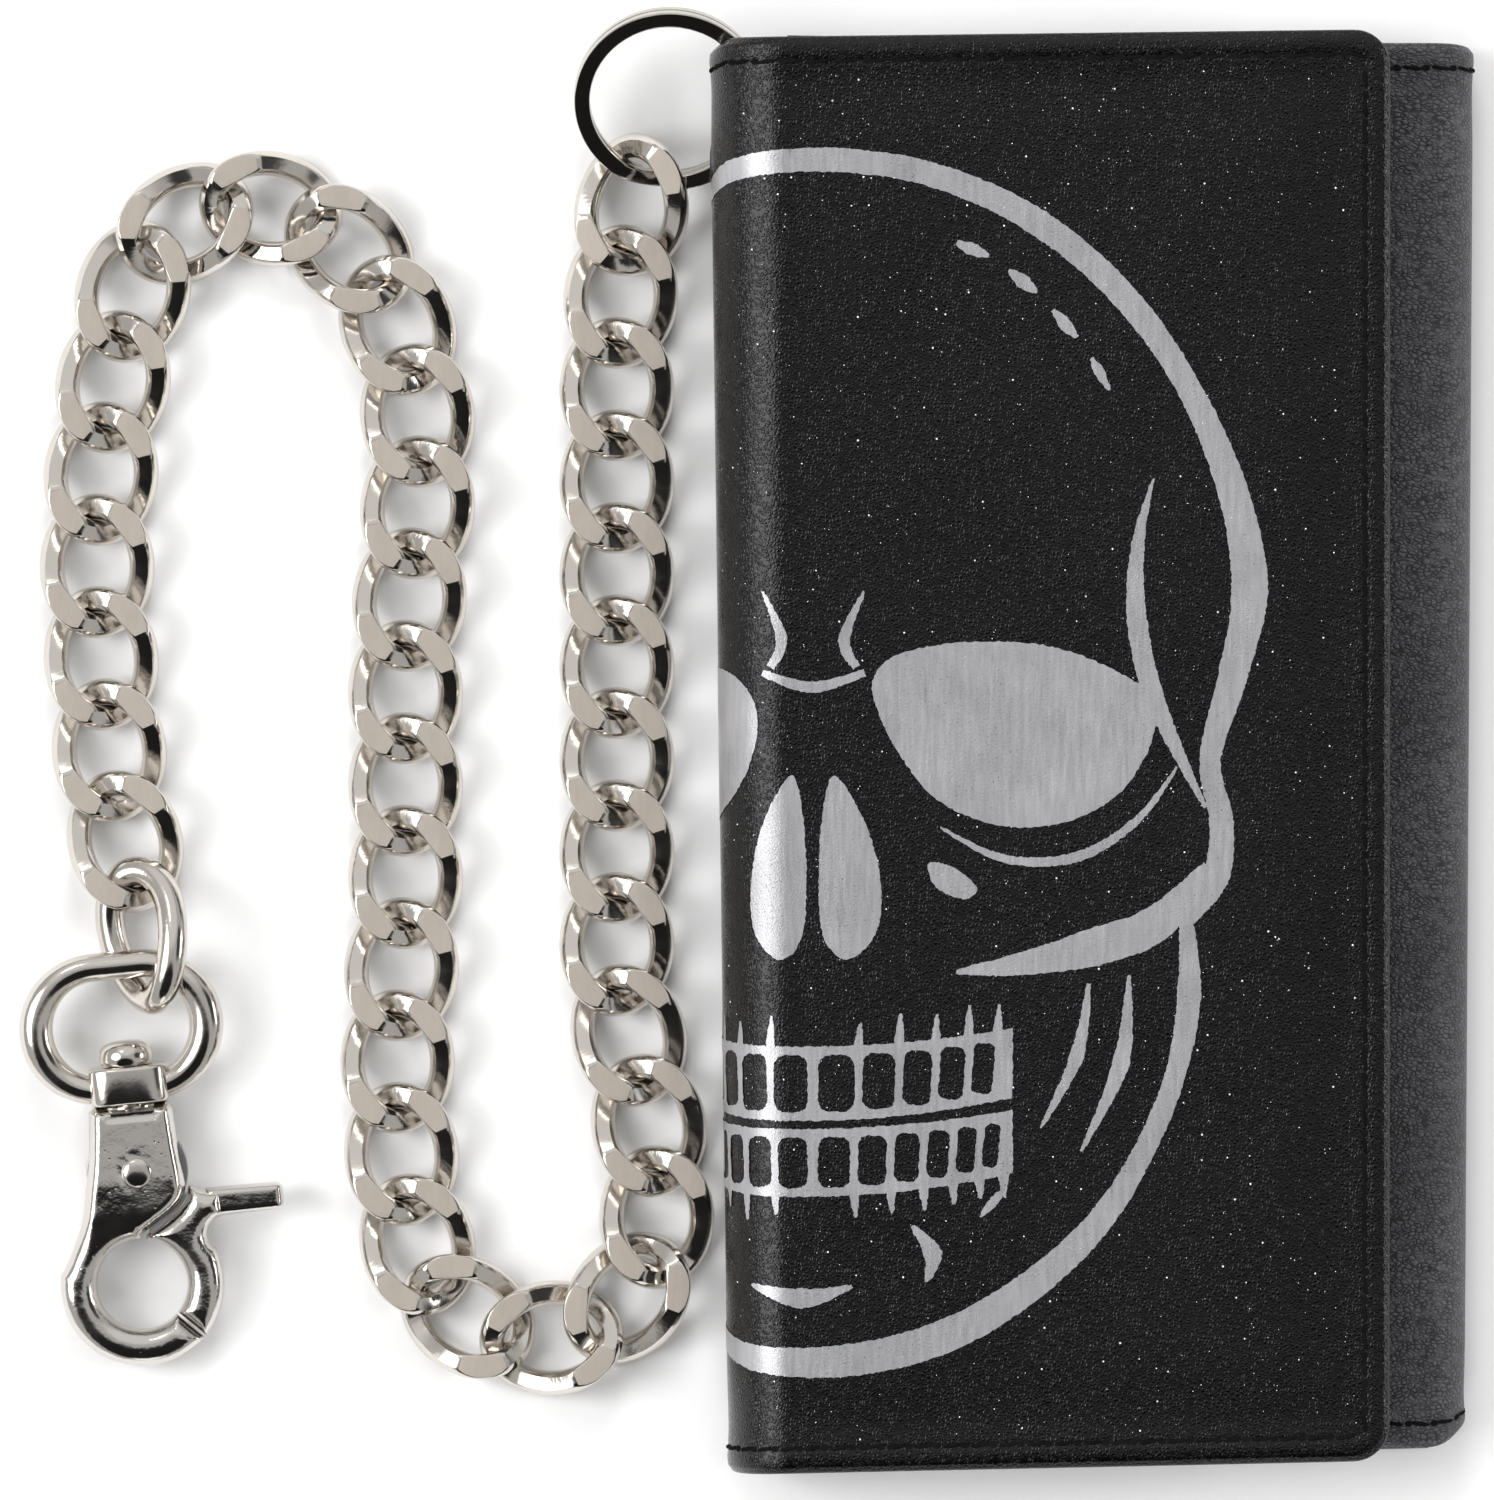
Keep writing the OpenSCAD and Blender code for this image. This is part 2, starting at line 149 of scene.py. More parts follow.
def mesh_piece(name, verts, faces, mats, uvs=None, face_mats=None, smooth=True):
    """A mesh from points in millimetres."""
    mesh = bpy.data.meshes.new(name)
    mesh.from_pydata([tuple(c * MM for c in v) for v in verts], [], faces)
    for m in mats if isinstance(mats, (list, tuple)) else [mats]:
        mesh.materials.append(m)
    if uvs is not None:
        layer = mesh.uv_layers.new(name="UVMap")
        loops = np.empty(len(mesh.loops), dtype=np.int32)
        mesh.loops.foreach_get("vertex_index", loops)
        layer.data.foreach_set("uv", np.asarray(uvs, dtype=np.float32)[loops].ravel())
    if face_mats is not None:
        mesh.polygons.foreach_set("material_index", np.asarray(face_mats, dtype=np.int32))
    mesh.polygons.foreach_set("use_smooth", [smooth] * len(mesh.polygons))
    mesh.update()
    return add_object(name, mesh)


WELD_GAP = 0.00001  # metres


def sharpen(obj, degrees):
    """Smooth shading with hard edges where the surface turns more than this."""
    mesh = obj.data
    limit = math.cos(math.radians(degrees))
    normals = {}
    for p in mesh.polygons:
        for k in p.edge_keys:
            normals.setdefault(k, []).append(p.normal.copy())
    for e in mesh.edges:
        n = normals.get(tuple(sorted(e.vertices)), [])
        if len(n) == 2 and n[0].dot(n[1]) < limit:
            e.use_edge_sharp = True


def evaluated(obj):
    """A new mesh of the object, with its curve or modifiers worked out."""
    deps = bpy.context.evaluated_depsgraph_get()
    return bpy.data.meshes.new_from_object(obj.evaluated_get(deps))


def weld(obj):
    """Joins the points that lie on each other."""
    obj.modifiers.new("weld", "WELD").merge_threshold = WELD_GAP
    mesh = evaluated(obj)
    obj.modifiers.clear()
    obj.data = mesh


def tube_faces(rings, sides, start=0, closed=True):
    """Faces round a row of rings of points; a closed row joins its last ring to its first."""
    faces = []
    for i in range(rings if closed else rings - 1):
        a, b = start + i * sides, start + (i + 1) % rings * sides
        for j in range(sides):
            k = (j + 1) % sides
            faces.append((a + j, a + k, b + k, b + j))
    return faces


def grid_faces(base, nx, ny, flip):
    """Faces between nx columns of ny points."""
    faces = []
    for i in range(nx - 1):
        a = base + i * ny
        for j in range(ny - 1):
            q = (a + j, a + ny + j, a + ny + j + 1, a + j + 1)
            faces.append(q[::-1] if flip else q)
    return faces


def turned(degrees, axis):
    return Matrix.Rotation(math.radians(degrees), 4, axis)


def circle(n):
    """The directions of n points round a circle."""
    return [(math.cos(2 * math.pi * i / n), math.sin(2 * math.pi * i / n)) for i in range(n)]


def arc(cx, cy, r, a0, a1, n):
    """Points along an arc, from one angle to the other in n steps."""
    return [(cx + r * math.cos(math.radians(a0 + (a1 - a0) * i / n)),
             cy + r * math.sin(math.radians(a0 + (a1 - a0) * i / n))) for i in range(n + 1)]


def smooth_line(points, per, closed=False):
    """A Catmull-Rom curve through the points, in per steps from each to the next."""
    n = len(points)
    out = []
    for i in range(n if closed else n - 1):
        near = [(i + k - 1) % n if closed else min(max(i + k - 1, 0), n - 1) for k in range(4)]
        p = [Vector(points[k]) for k in near]
        for j in range(per):
            t = j / per
            out.append(0.5 * ((2 * p[1]) + (p[2] - p[0]) * t
                              + (2 * p[0] - 5 * p[1] + 4 * p[2] - p[3]) * t * t
                              + (3 * p[1] - p[0] - 3 * p[2] + p[3]) * t ** 3))
    if not closed:
        out.append(Vector(points[-1]))
    return out


def curve(points, per=6, closed=False):
    """The same for points of a plane, as plain pairs."""
    return [(p.x, p.y) for p in smooth_line([(*q, 0) for q in points], per, closed)]


def rounded_box(x, y, width, height, r, steps):
    """The outline of a box with round corners, about (x, y)."""
    out = []
    for cx, cy, a in ((x + width / 2 - r, y + height / 2 - r, 0),
                      (x - width / 2 + r, y + height / 2 - r, 90),
                      (x - width / 2 + r, y - height / 2 + r, 180),
                      (x + width / 2 - r, y - height / 2 + r, 270)):
        out += arc(cx, cy, r, a, a + 90, steps)
    return out


def smoothstep(x):
    x = min(max(x, 0), 1)
    return x * x * (3 - 2 * x)


def bell(x, width):
    return math.exp(-(x / width) ** 2)


def round_drop(s, r):
    """How far a rounded rim of radius r has dropped at a distance s from its edge."""
    return r - math.sqrt(max(r ** 2 - (r - min(s, r)) ** 2, 0))


def plate(name, outlines, half, bevel, mat, matrix, steps):
    """A flat plate of closed outlines, with rounded rims. The first outline is the outside."""
    data = bpy.data.curves.new(name, "CURVE")
    data.dimensions = "2D"
    data.fill_mode = "BOTH"
    data.extrude = (half - bevel) * MM
    data.bevel_depth = bevel * MM
    data.bevel_resolution = steps
    data.offset = -bevel * MM
    for outline in outlines:
        spline = data.splines.new("POLY")
        spline.points.add(len(outline) - 1)
        for point, (x, y) in zip(spline.points, outline):
            point.co = (x * MM, y * MM, 0, 1)
        spline.use_cyclic_u = True
    temp = add_object(name + "_curve", data)
    mesh = evaluated(temp)
    bpy.data.objects.remove(temp)
    mesh.transform(matrix)
    mesh.materials.clear()
    mesh.materials.append(mat)
    mesh.polygons.foreach_set("use_smooth", [True] * len(mesh.polygons))
    obj = add_object(name, mesh)
    sharpen(obj, 30)
    return obj


def resample(outline, step):
    """Points along a closed outline, no further apart than step."""
    out = []
    for (x0, y0), (x1, y1) in zip(outline, outline[1:] + outline[:1]):
        parts = max(int(math.ceil(math.hypot(x1 - x0, y1 - y0) / step)), 1)
        out += [(x0 + (x1 - x0) * k / parts, y0 + (y1 - y0) * k / parts) for k in range(parts)]
    return out


def edge_distance(points, outlines):
    """Distance from each point to the nearest edge of the outlines."""
    p = np.asarray(points, dtype=float)
    best = np.full(len(p), 1e9)
    for outline in outlines:
        a = np.asarray(outline, dtype=float)
        d = np.roll(a, -1, axis=0) - a
        rel = p[:, None] - a
        t = np.clip((rel * d).sum(2) / np.maximum((d * d).sum(1), 1e-12), 0, 1)
        gap = rel - t[:, :, None] * d
        best = np.minimum(best, np.sqrt((gap * gap).sum(2)).min(1))
    return best


def contains(outlines, points):
    """Which points lie inside the outlines, by the even-odd rule."""
    p = np.asarray(points, dtype=float)
    hit = np.zeros(len(p), dtype=bool)
    for outline in outlines:
        a = np.asarray(outline, dtype=float)
        b = np.roll(a, -1, axis=0)
        px, py = p[:, :1], p[:, 1:]
        crosses = (a[:, 1] > py) != (b[:, 1] > py)
        span = np.where(b[:, 1] == a[:, 1], 1e-9, b[:, 1] - a[:, 1])
        x = a[:, 0] + (py - a[:, 1]) * (b[:, 0] - a[:, 0]) / span
        hit ^= np.sum(crosses & (px < x), axis=1) % 2 == 1
    return hit


FILL_GAP = 1e-5


def fill(loops, inside):
    """Triangles that fill closed loops by way of the points inside them: points, triangles."""
    pts, edges = [], []
    for loop in loops:
        first = len(pts)
        pts += loop
        edges += [(first + k, first + (k + 1) % len(loop)) for k in range(len(loop))]
    out = geometry.delaunay_2d_cdt([Vector(p) for p in pts + inside], edges, [], 1, FILL_GAP)
    flat = np.array([tuple(p) for p in out[0]])
    centres = np.array([flat[list(f)].mean(0) for f in out[2]])
    return flat, [f for f, ok in zip(out[2], contains(loops, centres)) if ok]


def grid_points(loop, step):
    """A square grid over a loop's extent."""
    lo, hi = np.min(loop, axis=0), np.max(loop, axis=0)
    return np.array([(x, y) for x in np.arange(lo[0], hi[0], step)
                     for y in np.arange(lo[1], hi[1], step)])


# Distances from a relief's edge at which it has a line of points, and the grid beyond them
RELIEF_LINES = (0.04, 0.12, 0.25, 0.42, 0.65, 0.95, 1.3, 1.7, 2.1)
RELIEF_STEP = 0.3
RELIEF_GRID = 0.6
RELIEF_SHIFT = 0.11
RELIEF_THIN = 0.12


def relief(name, outline, profile, mat, matrix):
    """A solid with the outline's shape, its faces raised by profile(distance to the edge, x, y)
    both ways."""
    loops = [resample(outline, RELIEF_STEP)]
    a = np.asarray(loops[0])
    tangent = np.roll(a, -1, axis=0) - np.roll(a, 1, axis=0)
    tangent /= np.maximum(np.linalg.norm(tangent, axis=1), 1e-9)[:, None]
    normal = np.stack([-tangent[:, 1], tangent[:, 0]], axis=1)
    inside = []
    for k, d in enumerate(RELIEF_LINES):
        skip = 1 if d < 1 else 2
        for side in (1, -1):
            q = (a + side * d * normal)[k % skip::skip]
            good = contains(loops, q) & (edge_distance(q, loops) > 0.93 * d)
            inside += [tuple(v) for v in q[good]]
    q = grid_points(loops[0], RELIEF_GRID) + RELIEF_SHIFT
    q = q[contains(loops, q)]
    q = q[edge_distance(q, loops) > RELIEF_LINES[-1] + 0.3 * RELIEF_GRID]
    flat, tris = fill(loops, inside + [tuple(v) for v in q])
    dist = edge_distance(flat, loops)
    verts = []
    for side in (1, -1):
        for (x, y), d in zip(flat, dist):
            h = max(profile(0 if d < 1e-4 else d, x, y), RELIEF_THIN)
            verts.append((matrix @ Vector((x * MM, y * MM, side * h * MM))) / MM)
    count = len(flat)
    faces = [tuple(f) for f in tris] + [tuple(i + count for i in reversed(f)) for f in tris]
    # The rim joins the two faces along the edges that only one triangle has
    sides = {(a, b): None for f in tris for a, b in zip(f, [*f[1:], f[0]])}
    faces += [(b, a, a + count, b + count) for a, b in sides if (b, a) not in sides]
    obj = mesh_piece(name, verts, faces, mat)
    sharpen(obj, 50)
    return obj


def lathe(name, profile, mat, matrix, steps=48):
    """A solid of revolution about local Z; profile is (radius, height) from bottom to top."""
    n = len(profile)
    verts = [matrix @ Vector((r * c * MM, r * s * MM, z * MM)) / MM
             for c, s in circle(steps) for r, z in profile]
    faces = []
    for i in range(steps):
        j = (i + 1) % steps
        faces += [(i * n + k, j * n + k, j * n + k + 1, i * n + k + 1) for k in range(n - 1)]
    faces.append([i * n for i in range(steps)][::-1])
    faces.append([i * n + n - 1 for i in range(steps)])
    obj = mesh_piece(name, verts, faces, mat)
    sharpen(obj, 40)
    return obj


# ---------------------------------------------------------------- materials

class Nodes:
    """A node tree with a short way to add nodes. An input is an output to link or a constant."""

    def __init__(self, tree):
        self.tree = tree

    def link(self, value, socket):
        if isinstance(value, bpy.types.NodeSocket):
            self.tree.links.new(value, socket)
        else:
            socket.default_value = value

    def node(self, kind, inputs=None, **settings):
        n = self.tree.nodes.new("ShaderNode" + kind)
        for key, value in settings.items():
            setattr(n, key, value)
        for key, value in (inputs or {}).items():
            self.link(value, n.inputs[key])
        return n

    def ramp(self, value, lo, hi, out_lo, out_hi):
        ends = {"From Min": lo, "From Max": hi, "To Min": out_lo, "To Max": out_hi}
        n = self.node("MapRange", {"Value": value, **ends}, interpolation_type="SMOOTHSTEP")
        return n.outputs["Result"]


class Shader(Nodes):
    """A Principled material with a few short ways to add noise, colour and bump."""

    def __init__(self, name, color, roughness, metallic=0.0, specular=0.5):
        self.mat = bpy.data.materials.new(name)
        self.mat.use_nodes = True
        super().__init__(self.mat.node_tree)
        self.normal = None
        self.set("Base Color", (*color, 1))
        self.set("Roughness", roughness)
        self.set("Metallic", metallic)
        self.set("Specular IOR Level", specular)

    def set(self, key, value):
        self.link(value, self.tree.nodes["Principled BSDF"].inputs[key])

    def coords(self, kind="Object", stretch=(1, 1, 1)):
        tex = self.node("TexCoord").outputs[kind]
        return self.node("Mapping", {"Vector": tex, "Scale": stretch}).outputs["Vector"]

    def noise(self, vector, scale, detail=4, rough=0.5, distortion=0.0):
        return self.node("TexNoise", {"Vector": vector, "Scale": scale, "Detail": detail,
                                      "Roughness": rough, "Distortion": distortion}).outputs["Fac"]

    def voronoi(self, vector, scale, feature="F1"):
        n = self.node("TexVoronoi", {"Vector": vector, "Scale": scale}, feature=feature)
        return n.outputs["Distance"]

    def math(self, op, a, b):
        return self.node("Math", {0: a, 1: b}, operation=op).outputs[0]

    def blend(self, a, part, b):
        """part of a and the rest of b."""
        return self.math("ADD", self.math("MULTIPLY", a, part), self.math("MULTIPLY", b, 1 - part))

    def mix_color(self, factor, dark, light):
        dark, light = ((*c, 1) if isinstance(c, tuple) else c for c in (dark, light))
        return self.node("Mix", {0: factor, "A": dark, "B": light}, data_type="RGBA").outputs[2]

    def color(self, factor, dark, light):
        self.set("Base Color", self.mix_color(factor, dark, light))

    def roughness(self, factor, low, high):
        self.set("Roughness", self.ramp(factor, 0.2, 0.8, low, high))

    def bump(self, height, distance, strength=1.0):
        inputs = {"Height": height, "Distance": distance, "Strength": strength}
        if self.normal is not None:
            inputs["Normal"] = self.normal
        self.normal = self.node("Bump", inputs).outputs["Normal"]
        self.set("Normal", self.normal)


def leather(name, tone, shine, polish, cell, grain, stretch, creases, crease_shade_depth):
    """Black leather: grain cells, cell millimetres wide, with creases between them, darkened in
    places as painted shade (crease_shade_depth is how much). tone is its base grey, polish its
    range of roughness, and stretch below 1 draws the pattern out along x."""
    s = Shader(name, (tone, tone, tone * 1.1), 0.5, specular=shine)
    uv = s.coords("UV", (stretch, 1, 1))
    # The cells' place is pushed about a little, so that their borders waver
    push = s.math("MULTIPLY", s.noise(uv, 60, 3), 0.007)
    bent = s.node("VectorMath", {0: uv, 1: push}, operation="ADD").outputs[0]
    cells = s.voronoi(bent, UV_SIZE / cell, "DISTANCE_TO_EDGE")
    line = s.ramp(cells, 0.0, 0.24, 0, 1)
    dome = s.ramp(cells, 0.0, 0.4, 0, 1)
    fine = s.noise(uv, 420, 3, 0.6)
    folds = s.noise(uv, 30, 6, 0.65, 1.2)
    broad = s.noise(uv, 5, 3)
    here = s.ramp(s.noise(uv, 70, 4, 0.65), 0.36, 0.56, 0.4, 1)
    # Painted shade: the colour is darkened along the cells' borders, the grain's creases, where
    # the noise lets them show
    crease_shade = s.math("MULTIPLY", s.ramp(line, 0, 1, 1, 0), here)
    shade = s.ramp(broad, 0.35, 0.65, 0.75, 1.1)
    amount = s.math("MULTIPLY", shade, s.ramp(crease_shade, 0, 1, 1, 1 - crease_shade_depth))
    s.color(amount, (tone * 0.15,) * 3, (tone, tone, tone * 1.1))
    s.roughness(s.blend(fine, 0.5, folds), *polish)
    s.bump(folds, 0.0002 * creases)
    s.bump(dome, 0.00005 * grain)
    s.bump(fine, 0.00002 * grain)
    return s.mat


def thread():
    s = Shader("thread", (0.006, 0.006, 0.007), 0.8, specular=0.02)
    p = s.coords()
    s.bump(s.noise(p, 3500, 2), 0.00006)
    s.color(s.noise(p, 500, 2), (0.003, 0.003, 0.003), (0.012, 0.012, 0.013))
    return s.mat


def lining_cloth():
    """Woven black lining: two crossing waves for the weave."""
    s = Shader("lining_cloth", (0.012, 0.012, 0.014), 0.8, specular=0.2)
    p = s.coords()
    heights = []
    for direction in ("X", "Y"):
        wave = s.node("TexWave", {"Vector": p, "Scale": 480, "Distortion": 0.6},
                      bands_direction=direction)
        heights.append(wave.outputs["Fac"])
    weave = s.math("MULTIPLY", *heights)
    s.color(s.math("ADD", weave, s.noise(p, 60, 3)), (0.007, 0.007, 0.009), (0.022, 0.022, 0.026))
    s.bump(weave, 0.00012)
    return s.mat


def nickel(name="nickel", tone=(0.75, 0.705, 0.65), low=0.06, high=0.2):
    """Plated or plain metal with faint waves and smudges; low and high bound its roughness."""
    s = Shader(name, tone, 0.12, metallic=1.0)
    p = s.coords()
    smudge = s.noise(p, 160, 5, 0.6)
    s.color(s.noise(p, 60, 3), tuple(c * 0.86 for c in tone), tone)
    s.roughness(smudge, low, high)
    s.bump(s.noise(p, 420, 3), 0.00005, 0.5)
    s.bump(s.noise(s.coords("Object", (1, 1, 6)), 900, 2), 0.00001)
    return s.mat


def cast_nickel():
    """Plated casting: polished, but with the casting's faint dimples."""
    s = Shader("cast_nickel", (0.74, 0.71, 0.67), 0.12, metallic=1.0)
    p = s.coords()
    s.color(s.noise(p, 90, 4), (0.62, 0.59, 0.55), (0.76, 0.73, 0.69))
    s.roughness(s.noise(p, 210, 5, 0.65), 0.07, 0.2)
    s.bump(s.noise(p, 330, 4, 0.6), 0.0001)
    s.bump(s.ramp(s.voronoi(p, 700), 0.0, 0.16, 0, 1), 0.00003)
    return s.mat


def ground_flat():
    """The ground faces of the links: matte, warm grey, with fine grinding lines."""
    s = Shader("ground_flat", (0.5, 0.44, 0.39), 0.5, metallic=0.35)
    p = s.coords("Object", (1, 0.18, 1))
    lines = s.noise(p, 2600, 3, 0.6)
    s.color(s.blend(lines, 0.45, s.noise(p, 350, 4)), (0.36, 0.315, 0.275), (0.56, 0.5, 0.44))
    s.roughness(lines, 0.42, 0.6)
    s.bump(lines, 0.00002)
    return s.mat


def foil():
    """Silver foil pressed on the leather: brushed, with pinholes where it didn't take."""
    s = Shader("foil", (0.8, 0.8, 0.8), 0.35, metallic=1.0)
    uv = s.coords("UV")
    streak = s.noise(s.coords("UV", (1, 0.1, 1)), 160, 5, 0.7, 0.2)
    patch = s.noise(uv, 9, 3)
    speck = s.noise(uv, 330, 3, 0.75)
    holes = s.ramp(s.math("ADD", speck, s.math("MULTIPLY", patch, 0.2)), 0.42, 0.46, 0, 1)
    shade = s.mix_color(s.blend(streak, 0.6, patch), (0.2, 0.2, 0.21), (0.72, 0.72, 0.74))
    s.color(holes, (0.02, 0.02, 0.022), shade)
    s.set("Metallic", s.ramp(holes, 0, 1, 0.0, 0.6))
    s.roughness(streak, 0.26, 0.46)
    s.bump(s.voronoi(uv, 200, "DISTANCE_TO_EDGE"), 0.00003)
    s.bump(speck, 0.00003)
    return s.mat


def black_enamel():
    s = Shader("black_enamel", (0.008, 0.008, 0.009), 0.3)
    p = s.coords()
    s.roughness(s.noise(p, 200, 4), 0.2, 0.4)
    s.bump(s.noise(p, 500, 3), 0.00003)
    return s.mat


def glitter():
    s = Shader("glitter", (0.95, 0.95, 0.95), 0.25)
    s.color(s.noise(s.coords(), 800, 1), (0.75, 0.76, 0.78), (1, 1, 1))
    return s.mat


def clear_film():
    s = Shader("clear_film", (0.75, 0.78, 0.8), 0.12)
    s.set("Alpha", 0.35)
    p = s.coords()
    s.roughness(s.noise(p, 90, 4), 0.05, 0.25)
    s.bump(s.noise(p, 30, 3), 0.0002)
    return s.mat


def floor_paper():
    s = Shader("floor_paper", (0.93, 0.93, 0.93), 0.8, specular=0.1)
    s.bump(s.noise(s.coords(), 900, 3), 0.00002)
    return s.mat


M_FLAP = leather("flap_leather", tone=0.002, shine=0.4, polish=(0.12, 0.2), cell=0.45,
                 grain=0.75, stretch=1.0, creases=0.08, crease_shade_depth=0.3)
# Painted sheen: this leather's much lighter tone stands in for the soft wide sheen of its finish
M_GRAIN = leather("grained_leather", tone=0.088, shine=0.5, polish=(0.3, 0.5), cell=0.46,
                  grain=3.2, stretch=0.6, creases=0.8, crease_shade_depth=0.95)
M_POCKET = leather("pocket_leather", tone=0.012, shine=0.4, polish=(0.3, 0.5), cell=0.6,
                   grain=1.2, stretch=1.0, creases=0.6, crease_shade_depth=0.4)
M_THREAD = thread()
M_LINING = lining_cloth()
M_NICKEL = nickel()
M_CAST = cast_nickel()
M_RING = nickel("ring_nickel", (0.62, 0.59, 0.54), 0.05, 0.14)
M_FLAT = ground_flat()
M_ENAMEL = black_enamel()
M_FOIL = foil()
M_GLITTER = glitter()
M_FILM = clear_film()
M_STEEL = nickel("dull_steel", (0.5, 0.5, 0.5), 0.25, 0.45)

add_camera()
add_world()
for side, (at, power) in LIGHTS.items():
    add_light("soft_" + side, at, power)

FLOOR_HALF = 3000
FLOOR_Z = -0.1
floor = mesh_piece("floor", [(FLOOR_HALF * x, FLOOR_HALF * y, FLOOR_Z)
                             for x, y in ((-1, -1), (1, -1), (1, 1), (-1, 1))],
                   [(0, 1, 2, 3)], floor_paper())

# ---------------------------------------------------------------- sizes from the frame

def panel_box(node):
    """The low and high corner of a CAD node, in millimetres."""
    return tuple(Vector(c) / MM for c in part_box(node))


back_lo, back_hi = panel_box("back_cover")
flap_hi = panel_box("flap_cover")[1]
inner_lo, inner_hi = panel_box("inner_cover")

LEATHER_T = back_hi.z
SPINE_X = back_lo.x
SPINE_R = flap_hi.z / 2
SIDE_X = back_hi.x
SIDE_R = panel_box("right_spine")[1].x - back_hi.x
EDGE_R = LEATHER_T / 2
CORNER_R = 4.5
STITCH_IN = 3.1
STITCH_PITCH = 3.5
STITCH_L = 2.7
STITCH_W = 0.5
STITCH_BOW = 0.16
# Height of the painted-shade discs of the stitch holes above the leather
HOLE_SHADE_LIFT = 0.04
GROOVE_W = 0.32
# Distances from a sewn edge at which the leather's grid has a line
EDGE_LINES = [0, 0.05, 0.18, 0.26, 0.4, 0.62, 0.8, 1.0, 1.3, 1.8, 2.3, 2.65, 2.85, 3.0, 3.1, 3.2,
              3.35, 3.55, 3.9, 4.5, 5.3]
# The bevelled rim: its slope, where it starts behind the rounding, and where it ends
BEVEL_SLOPE = 0.75
BEVEL_IN = 0.18
BEVEL_OUT = 0.85


def edge_profile(s):
    """Height of the outer face at a distance s from a sewn edge: a bevelled rim, the turned edge's
    swell, a dip along the stitches, and the padding's slow fall."""
    z = -BEVEL_SLOPE * max(BEVEL_OUT - max(s, BEVEL_IN), 0)
    if s < BEVEL_IN:
        z -= (EDGE_R - BEVEL_SLOPE * (BEVEL_OUT - BEVEL_IN)) * (1 - s / BEVEL_IN) ** 2
    z += 0.1 * bell(s - 1.9, 0.75)
    z -= 0.03 * bell(s - STITCH_IN, GROOVE_W)
    z -= 0.12 * smoothstep((s - 2.6) / 3.5) * smoothstep((14 - s) / 9)
    return z


class Fold:
    """A leather run: flat from a = 0 to its free edge, and below 0 round a fold of radius r to the
    back. a is measured along the outer face, in the direction of side."""

    def __init__(self, x_fold, r, side, top, y_half, free, warp, wave):
        self.x_fold, self.r, self.side, self.top = x_fold, r, side, top
        self.y_half, self.free, self.warp, self.wave = y_half, free, warp, wave

    def distance(self, a, y):
        dx = self.free - a
        dy = self.y_half - abs(y)
        if dx < CORNER_R and dy < CORNER_R:
            return CORNER_R - math.hypot(CORNER_R - dx, CORNER_R - dy)
        return min(dx, dy)

    def y_limit(self, a):
        dx = self.free - a
        if dx >= CORNER_R:
            return self.y_half
        return self.y_half - CORNER_R + math.sqrt(max(CORNER_R ** 2 - (CORNER_R - dx) ** 2, 0))

    def point(self, a, y, lift=0.0):
        """The point at flat place (a, y), lifted square off the outer face. a is 0 at the fold."""
        if a >= 0:
            x, z = a, self.top
            nx, nz = 0, 1
            lift += self.wave(a, y)
        else:
            turn = -a / self.r
            nx, nz = -math.sin(turn), math.cos(turn)
            x, z = self.r * nx, self.top - self.r + self.r * nz
            if turn > math.pi:
                x, z, nx, nz = 0, self.top - 2 * self.r, 0, -1
        x, z = x + lift * nx, z + lift * nz
        wx, wy = self.warp(a, y)
        return Vector((self.x_fold + self.side * x + wx, y + wy, z))


def flap_warp(a, y):
    """The flap is a little out of square, and the spine leans in towards the bottom."""
    v = y / flap_hi.y
    spine = smoothstep((6 - a) / 20)
    x = spine * (0.9 - 1.15 * v)
    u = min(max(a / 75, -0.1), 1)
    yy = (-0.5 + 0.9 * u) * max(v, 0) + (-0.6 + 1.6 * u) * max(-v, 0)
    yy -= 1.2 * smoothstep((-8 - a) / 6) * max(v, 0) ** 6
    return x, yy


def flap_wave(a, y):
    """Soft unevenness of the padded flap, always inwards."""
    n = noise.noise(Vector((a * 0.045, y * 0.03, 3.1)))
    m = noise.noise(Vector((a * 0.12, y * 0.1, 7.7)))
    sag = 0.35 * smoothstep((a - 60) / 15)
    return -0.12 + 0.16 * n + 0.05 * m - sag


def inner_warp(a, y):
    """The panel's fold leans in towards the bottom, where its corner is well rounded."""
    v = y / 88
    spine = smoothstep((8 - a) / 10)
    corner = bell(a + 8, 4)
    yy = 0.55 * max(v, 0) + 0.45 * max(-v, 0)
    yy += 2.8 * corner * max(-v, 0) ** 16 - 0.5 * corner * max(v, 0) ** 14
    return -spine * (0.2 - 0.5 * v), yy


def inner_wave(a, y):
    """The panel is nearly flat."""
    n = noise.noise(Vector((a * 0.08, y * 0.05, 1.2)))
    m = noise.noise(Vector((a * 0.3, y * 0.25, 5.4)))
    return -0.1 + 0.12 * n + 0.08 * m


flap_fold = Fold(SPINE_X, SPINE_R, 1, flap_hi.z, flap_hi.y, flap_hi.x - SPINE_X,
                 flap_warp, flap_wave)
inner_fold = Fold(SIDE_X, SIDE_R, -1, inner_hi.z, inner_hi.y, SIDE_X - inner_lo.x,
                  inner_warp, inner_wave)
LEATHER_GRID = 1.0
HOLE_RIM = 0.5
ON_EDGE = 1e-6


